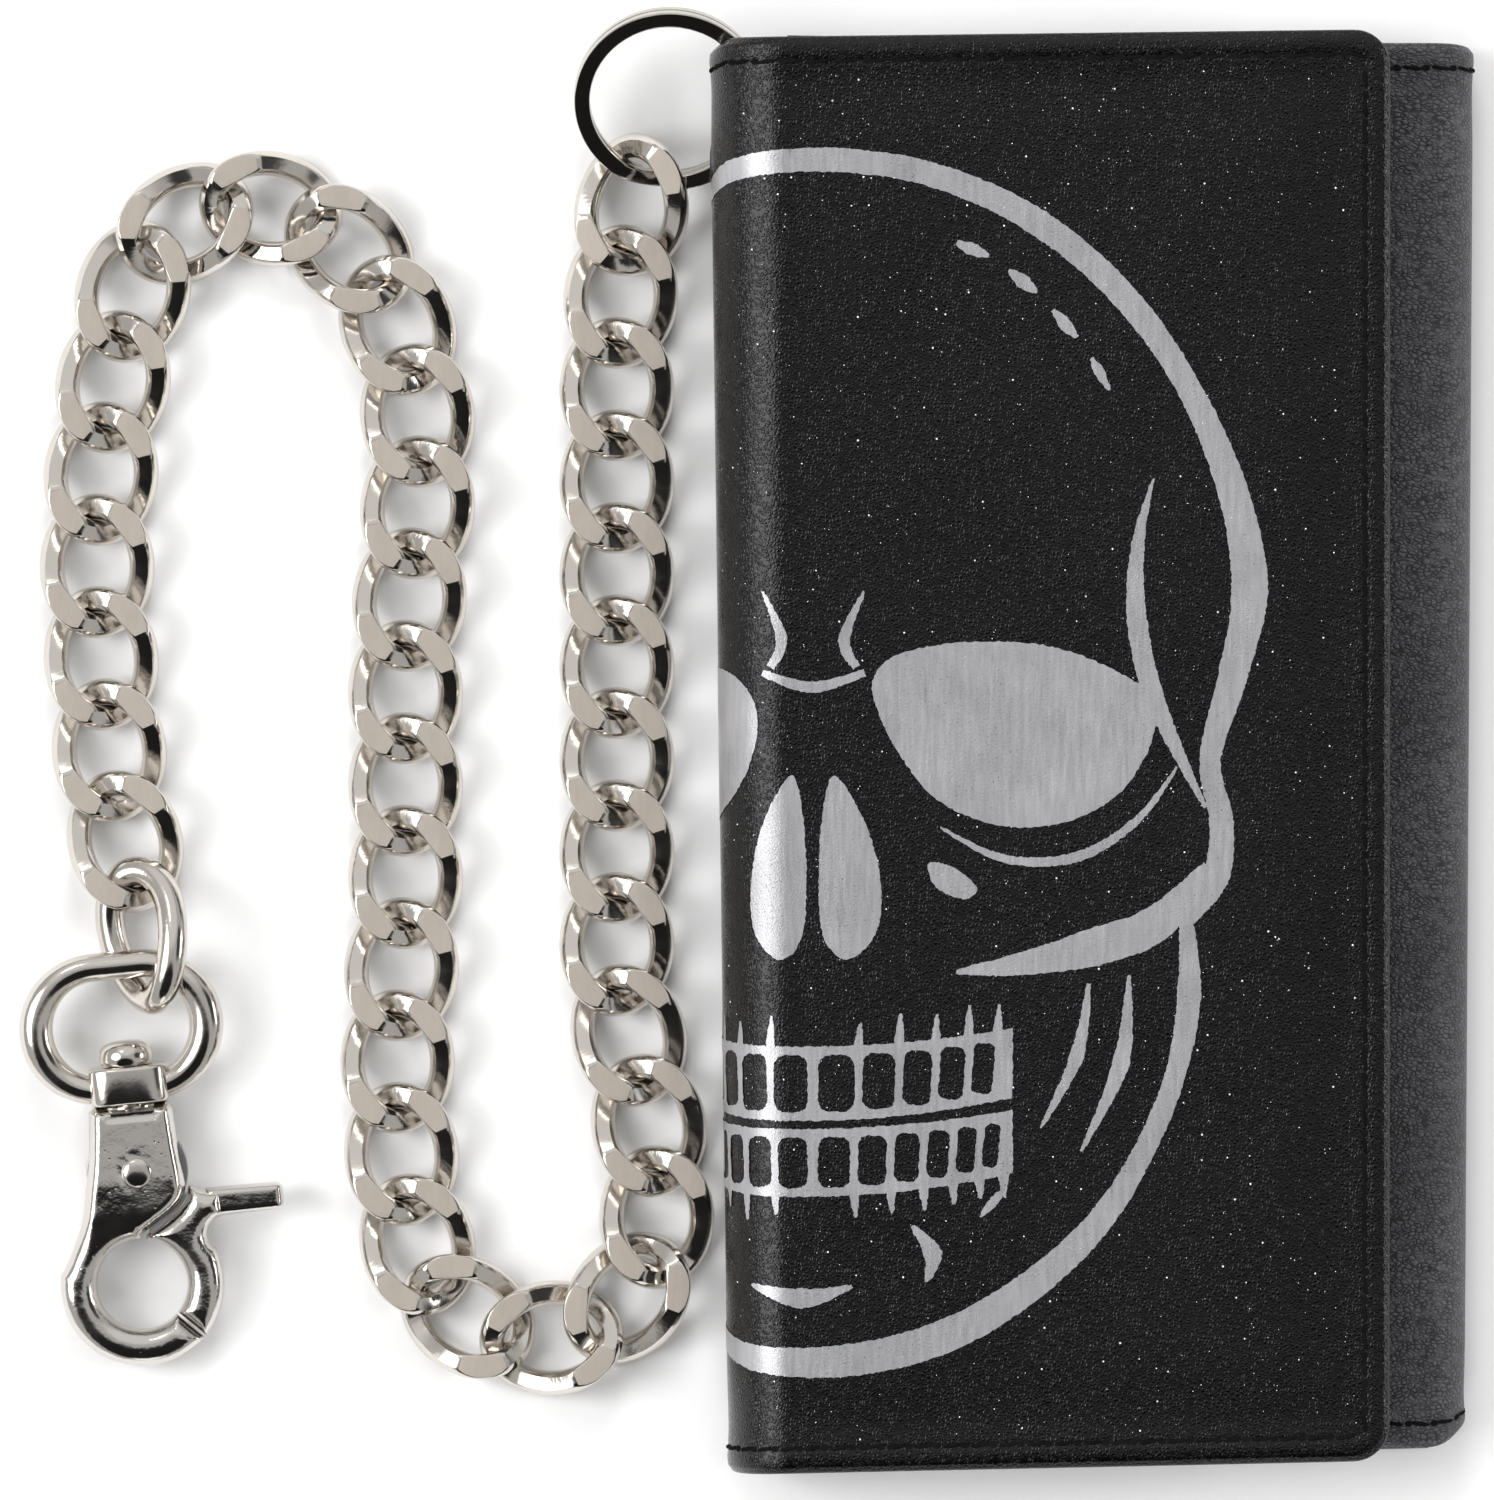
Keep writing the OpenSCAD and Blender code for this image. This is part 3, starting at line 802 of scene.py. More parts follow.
def leather_run(name, fold, mat, hole=None):
    """The outer leather of one fold and panel, with its thickness and its rounded, turned edges.
    hole is the flat place and radius of a round hole."""
    start = -math.pi * fold.r
    cols = [fold.free - d for d in EDGE_LINES]
    count = max(int((cols[-1] - start) / LEATHER_GRID), 2)
    cols = [start + (cols[-1] - start) * i / count for i in range(count)] + cols[::-1]
    inset = EDGE_LINES[-1]
    middle = max(int(2 * (fold.y_half - inset) / LEATHER_GRID), 2)
    verts, uvs, inside_hole = [], [], set()
    for side in (0, 1):
        for a in cols:
            top = fold.y_limit(a)
            ys = [-top + d for d in EDGE_LINES]
            ys += [-top + inset + 2 * (top - inset) * i / middle for i in range(1, middle)]
            ys += [top - d for d in EDGE_LINES[::-1]]
            for y in ys:
                s = max(fold.distance(a, y), 0)
                aa = a
                if hole:
                    hole_a, hole_y, bore = hole
                    off = math.hypot(a - hole_a, y - hole_y)
                    if off < bore + HOLE_RIM:
                        # Points by the hole move to its rim; faces wholly inside it go
                        inside_hole.add(len(verts))
                        scale = bore / max(off, 0.1) if off > bore - HOLE_RIM else 1
                        aa = hole_a + (a - hole_a) * scale
                        y = hole_y + (y - hole_y) * scale
                outer = side == 0 or s <= ON_EDGE
                lift = edge_profile(s) if outer else round_drop(s, EDGE_R) - LEATHER_T
                verts.append(fold.point(aa, y, lift))
                uvs.append((aa / UV_SIZE, y / UV_SIZE))
    n, rows = len(cols), len(ys)
    under = n * rows
    flip = fold.side < 0
    faces = grid_faces(0, n, rows, flip) + grid_faces(under, n, rows, not flip)
    # Rim: joins the two faces all round
    ring = [i * rows for i in range(n)] + [(n - 1) * rows + j for j in range(1, rows)]
    ring += [i * rows + rows - 1 for i in range(n - 2, -1, -1)] + list(range(rows - 2, 0, -1))
    for v, w in zip(ring, ring[1:] + ring[:1]):
        q = (v, w, w + under, v + under)
        faces.append(q if flip else q[::-1])
    faces = [f for f in faces if not inside_hole.issuperset(f)]
    return mesh_piece(name, verts, faces, mat, uvs)


# ---------------------------------------------------------------- stitches, glitter and print

def stitch_path(fold, a_start):
    """The line of the stitches along a sewn edge: top, free side and bottom."""
    y = fold.y_half - STITCH_IN
    x = fold.free - STITCH_IN
    r = max(CORNER_R - STITCH_IN, 0.5)
    line = [(a_start, y), (x - r, y)]
    line += arc(x - r, y - r, r, 90, 0, 6)
    line += arc(x - r, -y + r, r, 0, -90, 6)
    line += [(a_start, -y)]
    return line


def walk(line, pitch):
    """Places and directions every pitch along a line of points."""
    out = []
    carry = pitch / 2
    for (x0, y0), (x1, y1) in zip(line, line[1:]):
        length = math.hypot(x1 - x0, y1 - y0)
        if length < 1e-6:
            continue
        dx, dy = (x1 - x0) / length, (y1 - y0) / length
        d = carry
        while d < length:
            out.append((x0 + dx * d, y0 + dy * d, dx, dy))
            d += pitch
        carry = d - length
    return out


def stitches(name, place, spots, length=STITCH_L, height=0.2, base=-0.1):
    """Short bowed threads, with a flat dark disc of the thread's material at each stitch hole as
    painted shade; place(a, y, lift) gives a point of the surface."""
    verts, faces = [], []
    rings, sides, hole_shade_sides = 7, 8, 10
    slant = 0.12  # radians off the seam's line
    hole_shade_a, hole_shade_b = 0.55, 0.8 * STITCH_W
    hole_shade_at = hole_shade_a * STITCH_PITCH * length / STITCH_L
    for a, y, dx, dy in spots:
        # Painted shade: a flat dark disc lies on the leather over the stitch hole, in place of the
        # hole's shade
        hole_shade = len(verts)
        for c, s in circle(hole_shade_sides):
            p, q = hole_shade_at + hole_shade_a * c, hole_shade_b * s
            verts.append(place(a + dx * p - dy * q, y + dy * p + dx * q, HOLE_SHADE_LIFT))
        faces.append(list(range(hole_shade, hole_shade + hole_shade_sides)))
        c, s = math.cos(slant), math.sin(slant)
        ux, uy = dx * c - dy * s, dx * s + dy * c
        start = len(verts)
        for i in range(rings):
            t = -1 + 2 * i / (rings - 1)
            bulge = math.sqrt(max(1 - t ** 4, 0.02))
            along = 0.5 * length * t
            for c, s in circle(sides):
                off = 0.5 * STITCH_W * bulge * c
                up = base + STITCH_BOW * (1 - t * t) + height * bulge * s
                verts.append(place(a + ux * along - uy * off, y + uy * along + ux * off, up))
        faces += tube_faces(rings, sides, start, closed=False)
        faces.append(list(range(start, start + sides))[::-1])
        faces.append(list(range(len(verts) - sides, len(verts))))
    return mesh_piece(name, verts, faces, M_THREAD)


def specks(name, fold, count, mat):
    """Glitter: small six-sided flakes lying on the leather, of two ranges of size."""
    verts, faces = [], []
    lo, hi = -math.pi * fold.r * 0.9, fold.free - 4
    for _ in range(count):
        a = RNG.uniform(lo, hi)
        y = RNG.uniform(-fold.y_half + 4, fold.y_half - 4)
        r = RNG.uniform(0.035, 0.065) if RNG.random() < 0.8 else RNG.uniform(0.065, 0.13)
        turn = RNG.uniform(0, 6)
        start = len(verts)
        tilt = RNG.uniform(-0.02, 0.02)
        for k in range(6):
            w = turn + k * math.pi / 3
            verts.append(fold.point(a + r * math.cos(w), y + r * math.sin(w),
                                    edge_profile(fold.distance(a, y)) + 0.05 + tilt * math.cos(w)))
        faces.append(list(range(start, start + 6)))
    return mesh_piece(name, verts, faces, mat, smooth=False)


def ribbon(points, widths):
    """A closed outline round a line of varying width."""
    line = smooth_line([(*p, 0) for p in points], 7)
    n = len(line)
    left, right = [], []
    for i, p in enumerate(line):
        t = i / (n - 1) * (len(widths) - 1)
        k = min(int(t), len(widths) - 2)
        f = t - k
        w = (widths[k] * (1 - f) + widths[k + 1] * f) / 2
        d = (line[min(i + 1, n - 1)] - line[max(i - 1, 0)]).normalized()
        left.append((p.x - d.y * w, p.y + d.x * w))
        right.append((p.x + d.y * w, p.y - d.x * w))
    return left + right[::-1]


def blob(points):
    return curve(points, 7, closed=True)


def tooth(x, y, w, h, tilt):
    """A tilted box with round corners."""
    c, s = math.cos(tilt), math.sin(tilt)
    return [(x + (px - x) * c - (py - y) * s, y + (px - x) * s + (py - y) * c)
            for px, py in rounded_box(x, y, w, h, w * 0.32, 4)]


def skull_shapes():
    """A plain half skull, facing out from the fold: x from the fold, y up, in millimetres. Each
    shape is its outline, then its holes."""
    solid = [
        ribbon([(-18, 69), (-7, 73), (5, 74), (18, 72), (31, 66), (42, 56.5), (50, 45), (55.5, 32),
                (57.5, 20), (55.3, 9), (52.6, -1), (54, -9), (53.2, -16), (49, -22)],
               [2.2, 2.8, 3.0, 3.0, 3.3, 3.2, 3.0, 3.8, 4.6, 3.6, 2.6, 3.0, 3.4, 1.6]),
        ribbon([(45.5, 34), (43.6, 26), (43.4, 17), (45.2, 8), (48.5, 0), (52, -7)],
               [0.2, 1.6, 2.5, 2.6, 1.6, 0.4]),
        ribbon([(21, 63.5), (25, 61.8)], [0.6, 1.7, 0.5]),
        ribbon([(27.5, 60), (31, 57.2)], [0.5, 1.9, 0.5]),
        ribbon([(33, 55), (36, 51.5)], [0.5, 1.7, 0.4]),
        ribbon([(37.8, 49), (40, 45)], [0.4, 1.4, 0.3]),
        blob([(10.5, 8.5), (13.5, 12), (22, 13.6), (32, 13.2), (40, 10.4), (45.6, 6.4), (45, 0.5),
              (41, -5.5), (34, -9), (26, -9.2), (18.5, -6), (14, -0.5), (11.8, 3.5)]),
        ribbon([(19, -9.5), (27, -13.4), (36, -13.2), (43.5, -8.6), (48.5, -2)],
               [0.3, 1.0, 1.3, 1.0, 0.3]),
        blob([(-26, 9), (-15, 10.5), (-7.5, 9), (-4.4, 4.5), (-5.8, -2), (-10, -6.5), (-17, -9),
              (-26, -8)]),
        ribbon([(-2.5, 10.5), (-1, 14), (-3.5, 20)], [1.0, 1.5, 0.3]),
        ribbon([(8.5, 10.5), (7, 14), (9.5, 20)], [1.0, 1.5, 0.3]),
        ribbon([(-3.6, 9.8), (3, 8), (9.6, 9.8)], [0.8, 1.5, 0.8]),
        blob([(0.2, -3), (-3.2, -8), (-5.4, -15), (-5.2, -22), (-1.6, -25.8), (1.6, -23),
              (2.2, -15), (1.6, -7)]),
        blob([(5.8, -3), (9.2, -8), (11.4, -15), (11.2, -22), (7.6, -25.8), (4.4, -23), (3.8, -15),
              (4.4, -7)]),
        blob([(17.5, -14), (20.5, -14.4), (23.5, -17), (22, -18.4), (18.5, -17)]),
        ribbon([(21, -27.5), (29, -26.5), (38, -24.5), (46, -21.5), (52.5, -14.5)],
               [0.5, 2.8, 4.8, 4.6, 1.8]),
        ribbon([(49.5, -20), (50, -30), (48.4, -40), (44.6, -49.5), (39, -58.5), (30.5, -66.5),
                (19.5, -72.8), (7, -75.6), (-6, -75), (-18, -71.5)],
               [1.4, 3.0, 2.6, 2.6, 3.2, 3.8, 4.2, 4.0, 3.2, 2.2]),
        ribbon([(37.5, -29), (36, -38), (31.5, -47)], [0.4, 1.8, 0.3]),
        ribbon([(42.5, -28), (41.5, -39), (36.5, -50)], [0.4, 2.2, 0.3]),
        ribbon([(-6, -66), (1.5, -67.8), (8, -66.4)], [0.4, 2.6, 0.4]),
        ribbon([(15.5, -59), (18, -62.5), (17.2, -66)], [0.5, 2.4, 0.4]),
        ribbon([(24, -58), (27, -54.5)], [0.3, 1.3, 0.3]),
    ]
    shapes = [[outline] for outline in solid]
    # Teeth: two curved strips of foil, pierced by the teeth, with the roots as short spikes
    mid_x, left, right = 3, -20, 28
    for top, low, spike, shrink in ((-36.6, -45.8, 3.6, 1.0), (-46.8, -55.2, -3.2, 0.9)):
        def rise(x):
            return 0.0042 * (x - mid_x) ** 2
        along = range(left, right + 1, 2)
        strip = [(x, top + rise(x) * 0.8) for x in along]
        strip += [(x, low + rise(x)) for x in reversed(along)]
        holes = []
        x = mid_x + 0.2
        width = 5.6 * shrink
        while x + width < right - 0.5:
            for side in (1, -1):
                mid = mid_x + side * (x - mid_x + width / 2)
                if mid < left + 3:
                    continue
                y = (top + low) / 2 + rise(mid) * 0.9
                h = (top - low) - 2.1 - 0.0018 * (mid - mid_x) ** 2
                holes.append(tooth(mid, y, width - 1.0, h, -0.004 * (mid - mid_x)))
                edge = mid_x + side * (x - mid_x + width)
                base = top if spike > 0 else low
                root = (edge, base + rise(edge) * 0.8 - 0.2 * spike)
                tip = (edge + 0.2, base + rise(edge) + spike * RNG.uniform(0.6, 1.1))
                shapes.append([ribbon([root, tip], [1.5, 0.3])])
            x += width
            width *= 0.9
        shapes.append([strip] + holes)
    return shapes


PRINT_STEP = 0.4
PRINT_GRID = 1.1
PRINT_LIFT = 0.05
PRINT_LAYER = 0.0015
RAGGED = 0.09


def print_mesh(name, fold, shapes, mat):
    """Foil shapes laid on the leather, as thin skins with a slightly ragged outline."""
    verts, faces, uvs = [], [], []
    for layer, shape in enumerate(shapes):
        loops = [[(x + RNG.uniform(-RAGGED, RAGGED), y + RNG.uniform(-RAGGED, RAGGED))
                  for x, y in resample(outline, PRINT_STEP)] for outline in shape]
        inner = grid_points(loops[0], PRINT_GRID)
        flat, tris = fill(loops, [tuple(q) for q in inner[contains(loops, inner)]])
        start = len(verts)
        for x, y in flat:
            lift = edge_profile(fold.distance(x, y)) + PRINT_LIFT + PRINT_LAYER * layer
            verts.append(fold.point(x, y, lift))
            uvs.append((x / UV_SIZE, y / UV_SIZE))
        faces += [[start + i for i in f] for f in tris]
    return mesh_piece(name, verts, faces, mat, uvs)


# ---------------------------------------------------------------- the wallet

def blend_flap(piece):
    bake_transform(piece)


def blend_inner(piece):
    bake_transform(piece)


# The eyelet's flat place on the spine, and its bore
EYELET = (-math.radians(122) * SPINE_R, 74, 3.75)
flap_leather = leather_run("flap_leather", flap_fold, M_FLAP, EYELET)
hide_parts("flap_cover", "left_spine")
blend_flap(flap_leather)

inner_leather = leather_run("inner_leather", inner_fold, M_GRAIN)
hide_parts("inner_cover", "right_spine")
blend_inner(inner_leather)

flap_spots = walk(stitch_path(flap_fold, -SPINE_R * 2.3), STITCH_PITCH)
flap_stitches = stitches("flap_stitches", flap_fold.point, flap_spots)
blend_flap(flap_stitches)

inner_spots = walk(stitch_path(inner_fold, -SIDE_R * 2.6), STITCH_PITCH)
inner_stitches = stitches("inner_stitches", inner_fold.point, inner_spots)
blend_inner(inner_stitches)

flap_specks = specks("flap_specks", flap_fold, 1600, M_GLITTER)
blend_flap(flap_specks)

flap_print = print_mesh("flap_print", flap_fold, skull_shapes(), M_FOIL)
blend_flap(flap_print)


PANEL_GRID = 1.5
CROWN_RUN = 6  # mm from a panel's edge to its full crown


def rim_lines(length, r):
    """Grid lines along a panel, close together at its rims."""
    near = [0, 0.08 * r, 0.3 * r, r, 2.5 * r + 0.4]
    n = max(int((length - 2 * near[-1]) / PANEL_GRID), 2)
    mid = [near[-1] + (length - 2 * near[-1]) * i / n for i in range(1, n)]
    return near + mid + [length - d for d in near[::-1]]


def slab(name, xs, ys, point, mat):
    """A closed slab from a grid of lines; point(side, x, y) gives the place on its upper face for
    side 1 and on its lower face for side -1."""
    verts = [point(side, x, y) for side in (1, -1) for x in xs for y in ys]
    uvs = [(x / UV_SIZE, y / UV_SIZE) for _ in (1, -1) for x in xs for y in ys]
    nx, ny = len(xs), len(ys)
    faces = grid_faces(0, nx, ny, False) + grid_faces(nx * ny, nx, ny, True)
    obj = mesh_piece(name, verts, faces, mat, uvs)
    weld(obj)
    return obj


def soft_panel(name, box, mat, body, crown, round_edge):
    """A leather or cloth layer: a slab with rounded rims, slightly crowned, from its box in
    millimetres."""
    lo, hi = box
    r = min(round_edge, (hi.z - lo.z) * 0.49)
    width, depth = hi.x - lo.x, hi.y - lo.y

    def point(side, px, py):
        x, y = px - lo.x, py - lo.y
        s = min(x, width - x, y, depth - y)
        n = noise.noise(Vector((x * 0.09, y * 0.07, lo.z * 3 + side)))
        drop = round_drop(s, r) + crown * (0.6 + 0.4 * n) * smoothstep(s / CROWN_RUN)
        z = hi.z - drop if side > 0 else lo.z + drop
        return Vector((px, py, z if s > ON_EDGE else (hi.z + lo.z) / 2))

    xs = [lo.x + x for x in rim_lines(width, r)]
    ys = [lo.y + y for y in rim_lines(depth, r)]
    obj = slab(name, xs, ys, point, mat)
    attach(obj, body)
    return obj


def cut_box(box, **edges):
    """The box with some of its sides moved, as x0=, x1=, y0= and so on."""
    corners = [c.copy() for c in box]
    for key, value in edges.items():
        corners[int(key[1])]["xyz".index(key[0])] = value
    return corners


def flat_stitches(name, line, z, up, body, pitch=2.6, length=1.9):
    """A seam on a flat face at height z that looks up or down."""
    def place(a, y, lift):
        return Vector((a, y, z + up * lift))
    obj = stitches(name, place, walk(line, pitch), length, 0.18, 0.0)
    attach(obj, body)


BACK_GRID = 1.2
BACK_GROOVE = 0.36


def back_panel():
    """The back's outer leather: flat, sewn along its top and bottom."""
    lo, hi = panel_box("back_cover")
    width, depth = hi.x - lo.x, hi.y - lo.y
    nx = int(width / BACK_GRID)
    xs = [lo.x + width * i / nx for i in range(nx + 1)]
    middle = depth - 2 * EDGE_LINES[-1]
    n = int(middle / BACK_GRID)
    ys = [lo.y + d for d in EDGE_LINES]
    ys += [lo.y + EDGE_LINES[-1] + middle * i / n for i in range(1, n)]
    ys += [hi.y - d for d in EDGE_LINES[::-1]]

    def point(side, x, y):
        # The back is as high as the spine on one side and as the inner panel on the other
        f = (x - lo.x) / width
        half = hi.y * (1 - f) + inner_hi.y * f
        s = hi.y - abs(y)
        rim = round_drop(s, EDGE_R)
        z = LEATHER_T - rim if side > 0 else rim + BACK_GROOVE * bell(s - STITCH_IN, GROOVE_W)
        return Vector((x, y * half / hi.y, z if s > ON_EDGE else EDGE_R))

    obj = slab("back_leather", xs, ys, point, M_FLAP)
    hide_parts("back_cover")
    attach(obj, "root")
    for s, label in ((-1, "low"), (1, "high")):
        line = [(lo.x + 1, s * (hi.y - STITCH_IN)), (hi.x - 1, s * (inner_hi.y - STITCH_IN))]
        flat_stitches("back_stitches_" + label, line, BACK_GROOVE, -1, "root",
                      STITCH_PITCH, STITCH_L)


back_panel()

LINING_INSET = 1.6
for node, body in (("back_lining", "root"), ("flap_lining", "flap")):
    box = lo, hi = panel_box(node)
    if body == "flap":
        box = cut_box(box, x1=hi.x - LINING_INSET, y0=lo.y + LINING_INSET, y1=hi.y - LINING_INSET)
    piece = soft_panel(node + "_cloth", box, M_LINING, body, 0.0, 0.3)
    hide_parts(node)

POCKET_T = 0.9
POCKET_ROUND = 0.4
SEAM_SINK = 0.02


def pocket_stack(node, body, count, grow, up, y1=None):
    """Card pockets, each starting one step further in, with a stitched mouth. High ones are
    divided by three seams."""
    lo, hi = panel_box(node)
    y0, y1 = lo.y, hi.y if y1 is None else y1
    for i in range(count):
        low = (lo.z if up > 0 else hi.z) + up * i * POCKET_T
        z0, z1 = sorted((low, low + up * POCKET_T))
        left = lo.x + i * grow
        box = cut_box((lo, hi), x0=left, y1=y1, z0=z0, z1=z1)
        piece = soft_panel("%s_%d" % (node, i + 1), box, M_POCKET, body, 0.05, POCKET_ROUND)
        if i == 0:
            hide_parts(node)
        face = (z1 if up > 0 else z0) - up * SEAM_SINK
        mouth = [(left + 1.6, y0 + 3), (left + 1.6, y1 - 3)]
        flat_stitches("%s_seam_%d" % (node, i + 1), mouth, face, up, body)
        end = left + grow - 1.5 if i < count - 1 else hi.x - 2
        for k in (1, 2, 3) if y1 - y0 > 120 else ():
            y = y0 + (y1 - y0) * k / 4
            flat_stitches("%s_divide_%d_%d" % (node, i + 1, k), [(left + 2.5, y), (end, y)],
                          face, up, body)


pocket_stack("back_card_slots", "root", 3, 14, 1)
pocket_stack("inner_card_slots", "inner", 2, 16, -1)
pocket_stack("flap_card_slots", "flap", 2, 14, -1, y1=-4)

# The window: a frame of four strips round a clear film
FRAME_W = 5
FRAME_SEAM = 1.6
frame_hi = panel_box("flap_card_slots")[1].z
frame_low = frame_hi - POCKET_T
window_lo, window_hi = panel_box("id_window")
wx0, wx1, wy0, wy1 = window_lo.x, window_hi.x, window_lo.y, window_hi.y
for label, x0, x1, y0, y1 in (("left", wx0 - FRAME_W, wx0, wy0 - FRAME_W, wy1 + FRAME_W),
                              ("right", wx1, wx1 + FRAME_W, wy0 - FRAME_W, wy1 + FRAME_W),
                              ("low", wx0, wx1, wy0 - FRAME_W, wy0),
                              ("high", wx0, wx1, wy1, wy1 + FRAME_W)):
    box = (Vector((x0, y0, frame_low)), Vector((x1, y1, frame_hi)))
    piece = soft_panel("window_frame_" + label, box, M_POCKET, "flap", 0.0, POCKET_ROUND)
x0, x1, y0, y1 = wx0 - FRAME_SEAM, wx1 + FRAME_SEAM, wy0 - FRAME_SEAM, wy1 + FRAME_SEAM
flat_stitches("window_seam", [(x0, y0), (x1, y0), (x1, y1), (x0, y1), (x0, y0)],
              frame_low + SEAM_SINK, -1, "flap")
film = soft_panel("window_film", (window_lo, window_hi), M_FILM, "flap", 0.02, 0.15)
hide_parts("id_window")

# Coin pocket: a gusset with the zip let into its face
box = lo, hi = panel_box("coin_pocket")
tape_lo, tape_hi = panel_box("zip_tape")
zip_mid = (tape_lo.x + tape_hi.x) / 2
ZIP_GAP = 1.9
for label, x0, x1 in (("wide", lo.x, zip_mid - ZIP_GAP), ("narrow", zip_mid + ZIP_GAP, hi.x)):
    piece = soft_panel("coin_pocket_" + label, cut_box(box, x0=x0, x1=x1), M_POCKET, "inner",
                       0.12, 0.7)
    if label == "wide":
        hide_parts("coin_pocket")
box = cut_box(box, x0=zip_mid - ZIP_GAP - 0.3, x1=zip_mid + ZIP_GAP + 0.3, z1=lo.z + 0.5)
piece = soft_panel("coin_pocket_floor", box, M_LINING, "inner", 0.0, 0.1)
x0, x1, y0, y1 = lo.x + 2, hi.x - 2, lo.y + 2, hi.y - 2
flat_stitches("coin_seam", [(x0, y1), (x0, y0), (x1, y0), (x1, y1), (x0, y1)], hi.z - 0.05, 1,
              "inner", 3.0, 2.2)

TAPE_T = 0.4
TOOTH_PITCH = 1.25
# Each tooth: a body on its tape and a rounded head that reaches over the middle
TOOTH = [(1.7, -0.42), (0.4, -0.42), (-0.1, -0.56), (-0.6, -0.4), (-0.75, 0), (-0.6, 0.4),
         (-0.1, 0.56), (0.4, 0.42), (1.7, 0.42)]


def zip_chain():
    """Two tapes and two rows of interlocking teeth."""
    z = tape_lo.z
    for label, x0, x1 in (("left", tape_lo.x, zip_mid - 0.3), ("right", zip_mid + 0.3, tape_hi.x)):
        box = (Vector((x0, tape_lo.y, z)), Vector((x1, tape_hi.y, z + TAPE_T)))
        piece = soft_panel("zip_tape_" + label, box, M_LINING, "inner", 0.0, 0.15)
        if label == "left":
            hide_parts("zip_tape")
    verts, faces = [], []
    m = len(TOOTH)
    for i in range(int((tape_hi.y - tape_lo.y - 6) / TOOTH_PITCH)):
        y = tape_lo.y + 3 + (i + 0.5) * TOOTH_PITCH
        side = 1 if i % 2 else -1
        start = len(verts)
        for zz, in_x, in_y in ((z + TAPE_T - 0.1, 1, 1), (tape_hi.z - 0.15, 1, 1),
                               (tape_hi.z, 0.93, 0.8)):
            verts += [Vector((zip_mid + side * px * in_x, y + py * in_y * 0.98, zz))
                      for px, py in TOOTH]
        low = list(range(start, start + m))
        shape = [*tube_faces(3, m, start, closed=False), [v + 2 * m for v in low], low[::-1]]
        faces += shape if side < 0 else [q[::-1] for q in shape]
    teeth = mesh_piece("zip_teeth", verts, faces, M_STEEL, smooth=False)
    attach(teeth, "inner")


zip_chain()


def zip_slider():
    """The slider's body with its pull: an arm and a ring."""
    lo, hi = panel_box("zip_slider")
    mid, base_y = (lo.x + hi.x) / 2, hi.y - 4

    def at(height):
        return Matrix.Translation(Vector((mid, base_y, lo.z + height)) * MM)

    body = [(-3.1, 3.2), (-2.4, 4.0), (2.4, 4.0), (3.1, 3.2), (2.6, 0), (2.2, -3.4), (1.4, -4.0),
            (-1.4, -4.0), (-2.2, -3.4), (-2.6, 0)]
    piece = plate("slider_body", [body], 0.35, 0.18, M_STEEL, at(0.35), 3)
    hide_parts("zip_slider")
    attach(piece, "slider")
    ring = [arc(0, -16, 3, 0, 360, 40)[:-1], arc(0, -16, 1.5, 0, 360, 28)[:-1]]
    arm = [[(-1.2, -13.6), (1.2, -13.6), (1.7, -1.2), (1.2, -0.3), (-1.2, -0.3), (-1.7, -1.2)]]
    for name, outlines in (("slider_pull_ring", ring), ("slider_pull_arm", arm)):
        piece = plate(name, outlines, 0.3, 0.15, M_NICKEL, at(1.0), 3)
        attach(piece, "slider")


zip_slider()


# ---------------------------------------------------------------- eyelet and ring

def eyelet():
    """A black metal eyelet set in the spine, bent to its curve."""
    a0, y0, bore = EYELET
    section = [(3.3, -2.0), (3.3, 0.02), (3.42, 0.2), (3.7, 0.3), (4.1, 0.28), (4.4, 0.16),
               (4.5, -0.02), (bore, -0.06), (bore, -1.75), (4.4, -1.78), (4.4, -2.0)]
    steps = 48
    verts = [flap_fold.point(a0 + r * c, y0 + r * s, h)
             for c, s in circle(steps) for r, h in section]
    obj = mesh_piece("eyelet_rim", verts, tube_faces(steps, len(section)), M_ENAMEL)
    sharpen(obj, 40)
    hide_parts("eyelet")
    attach(obj, "root")


eyelet()
for node in ("flap_magnets", "inner_plates", "clasp_spring"):
    frame["nodes"][node].data.materials.clear()
    frame["nodes"][node].data.materials.append(M_STEEL)

RING_W = 2.0
RING_T = 2.6
RING_R = 12.0
RING_TILT = 23
RING_START = -94
RING_TURN = 704
COIL_GAP = 0.06
COIL_ROUND = 0.28


def split_ring():
    """Two flat turns of one wire, lying on each other, with a step where it passes from one to
    the other."""
    lo, hi = panel_box("split_ring")
    turn = Matrix.Translation((lo + hi) / 2) @ turned(RING_TILT, "X")
    section = rounded_box(0, 0, RING_W, RING_T / 2 - COIL_GAP, COIL_ROUND, 3)
    steps, m = 300, len(section)
    r = RING_R - RING_W / 2
    verts = []
    for i in range(steps + 1):
        gone = RING_TURN * i / steps
        a = math.radians(RING_START + gone)
        z = (1 - 2 * smoothstep((gone - 330) / 28)) * RING_T / 4
        verts += [turn @ Vector(((r + x) * math.cos(a), (r + x) * math.sin(a), z + h))
                  for x, h in section]
    faces = [q[:1] + q[:0:-1] for q in tube_faces(steps + 1, m, closed=False)]
    faces += [list(range(m)), list(range(steps * m, len(verts)))[::-1]]
    obj = mesh_piece("split_ring_coils", verts, faces, M_RING)
    sharpen(obj, 30)
    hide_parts("split_ring")
    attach(obj, "ring")


split_ring()

# ---------------------------------------------------------------- chain

LINK_A = 5.65
LINK_B = 7.45
LINK_TWIST = 2.1
WIRE_R = 1.58
FLAT_H = 2.75
LINK_Z = 2.75
FLAT_EDGE = 0.13
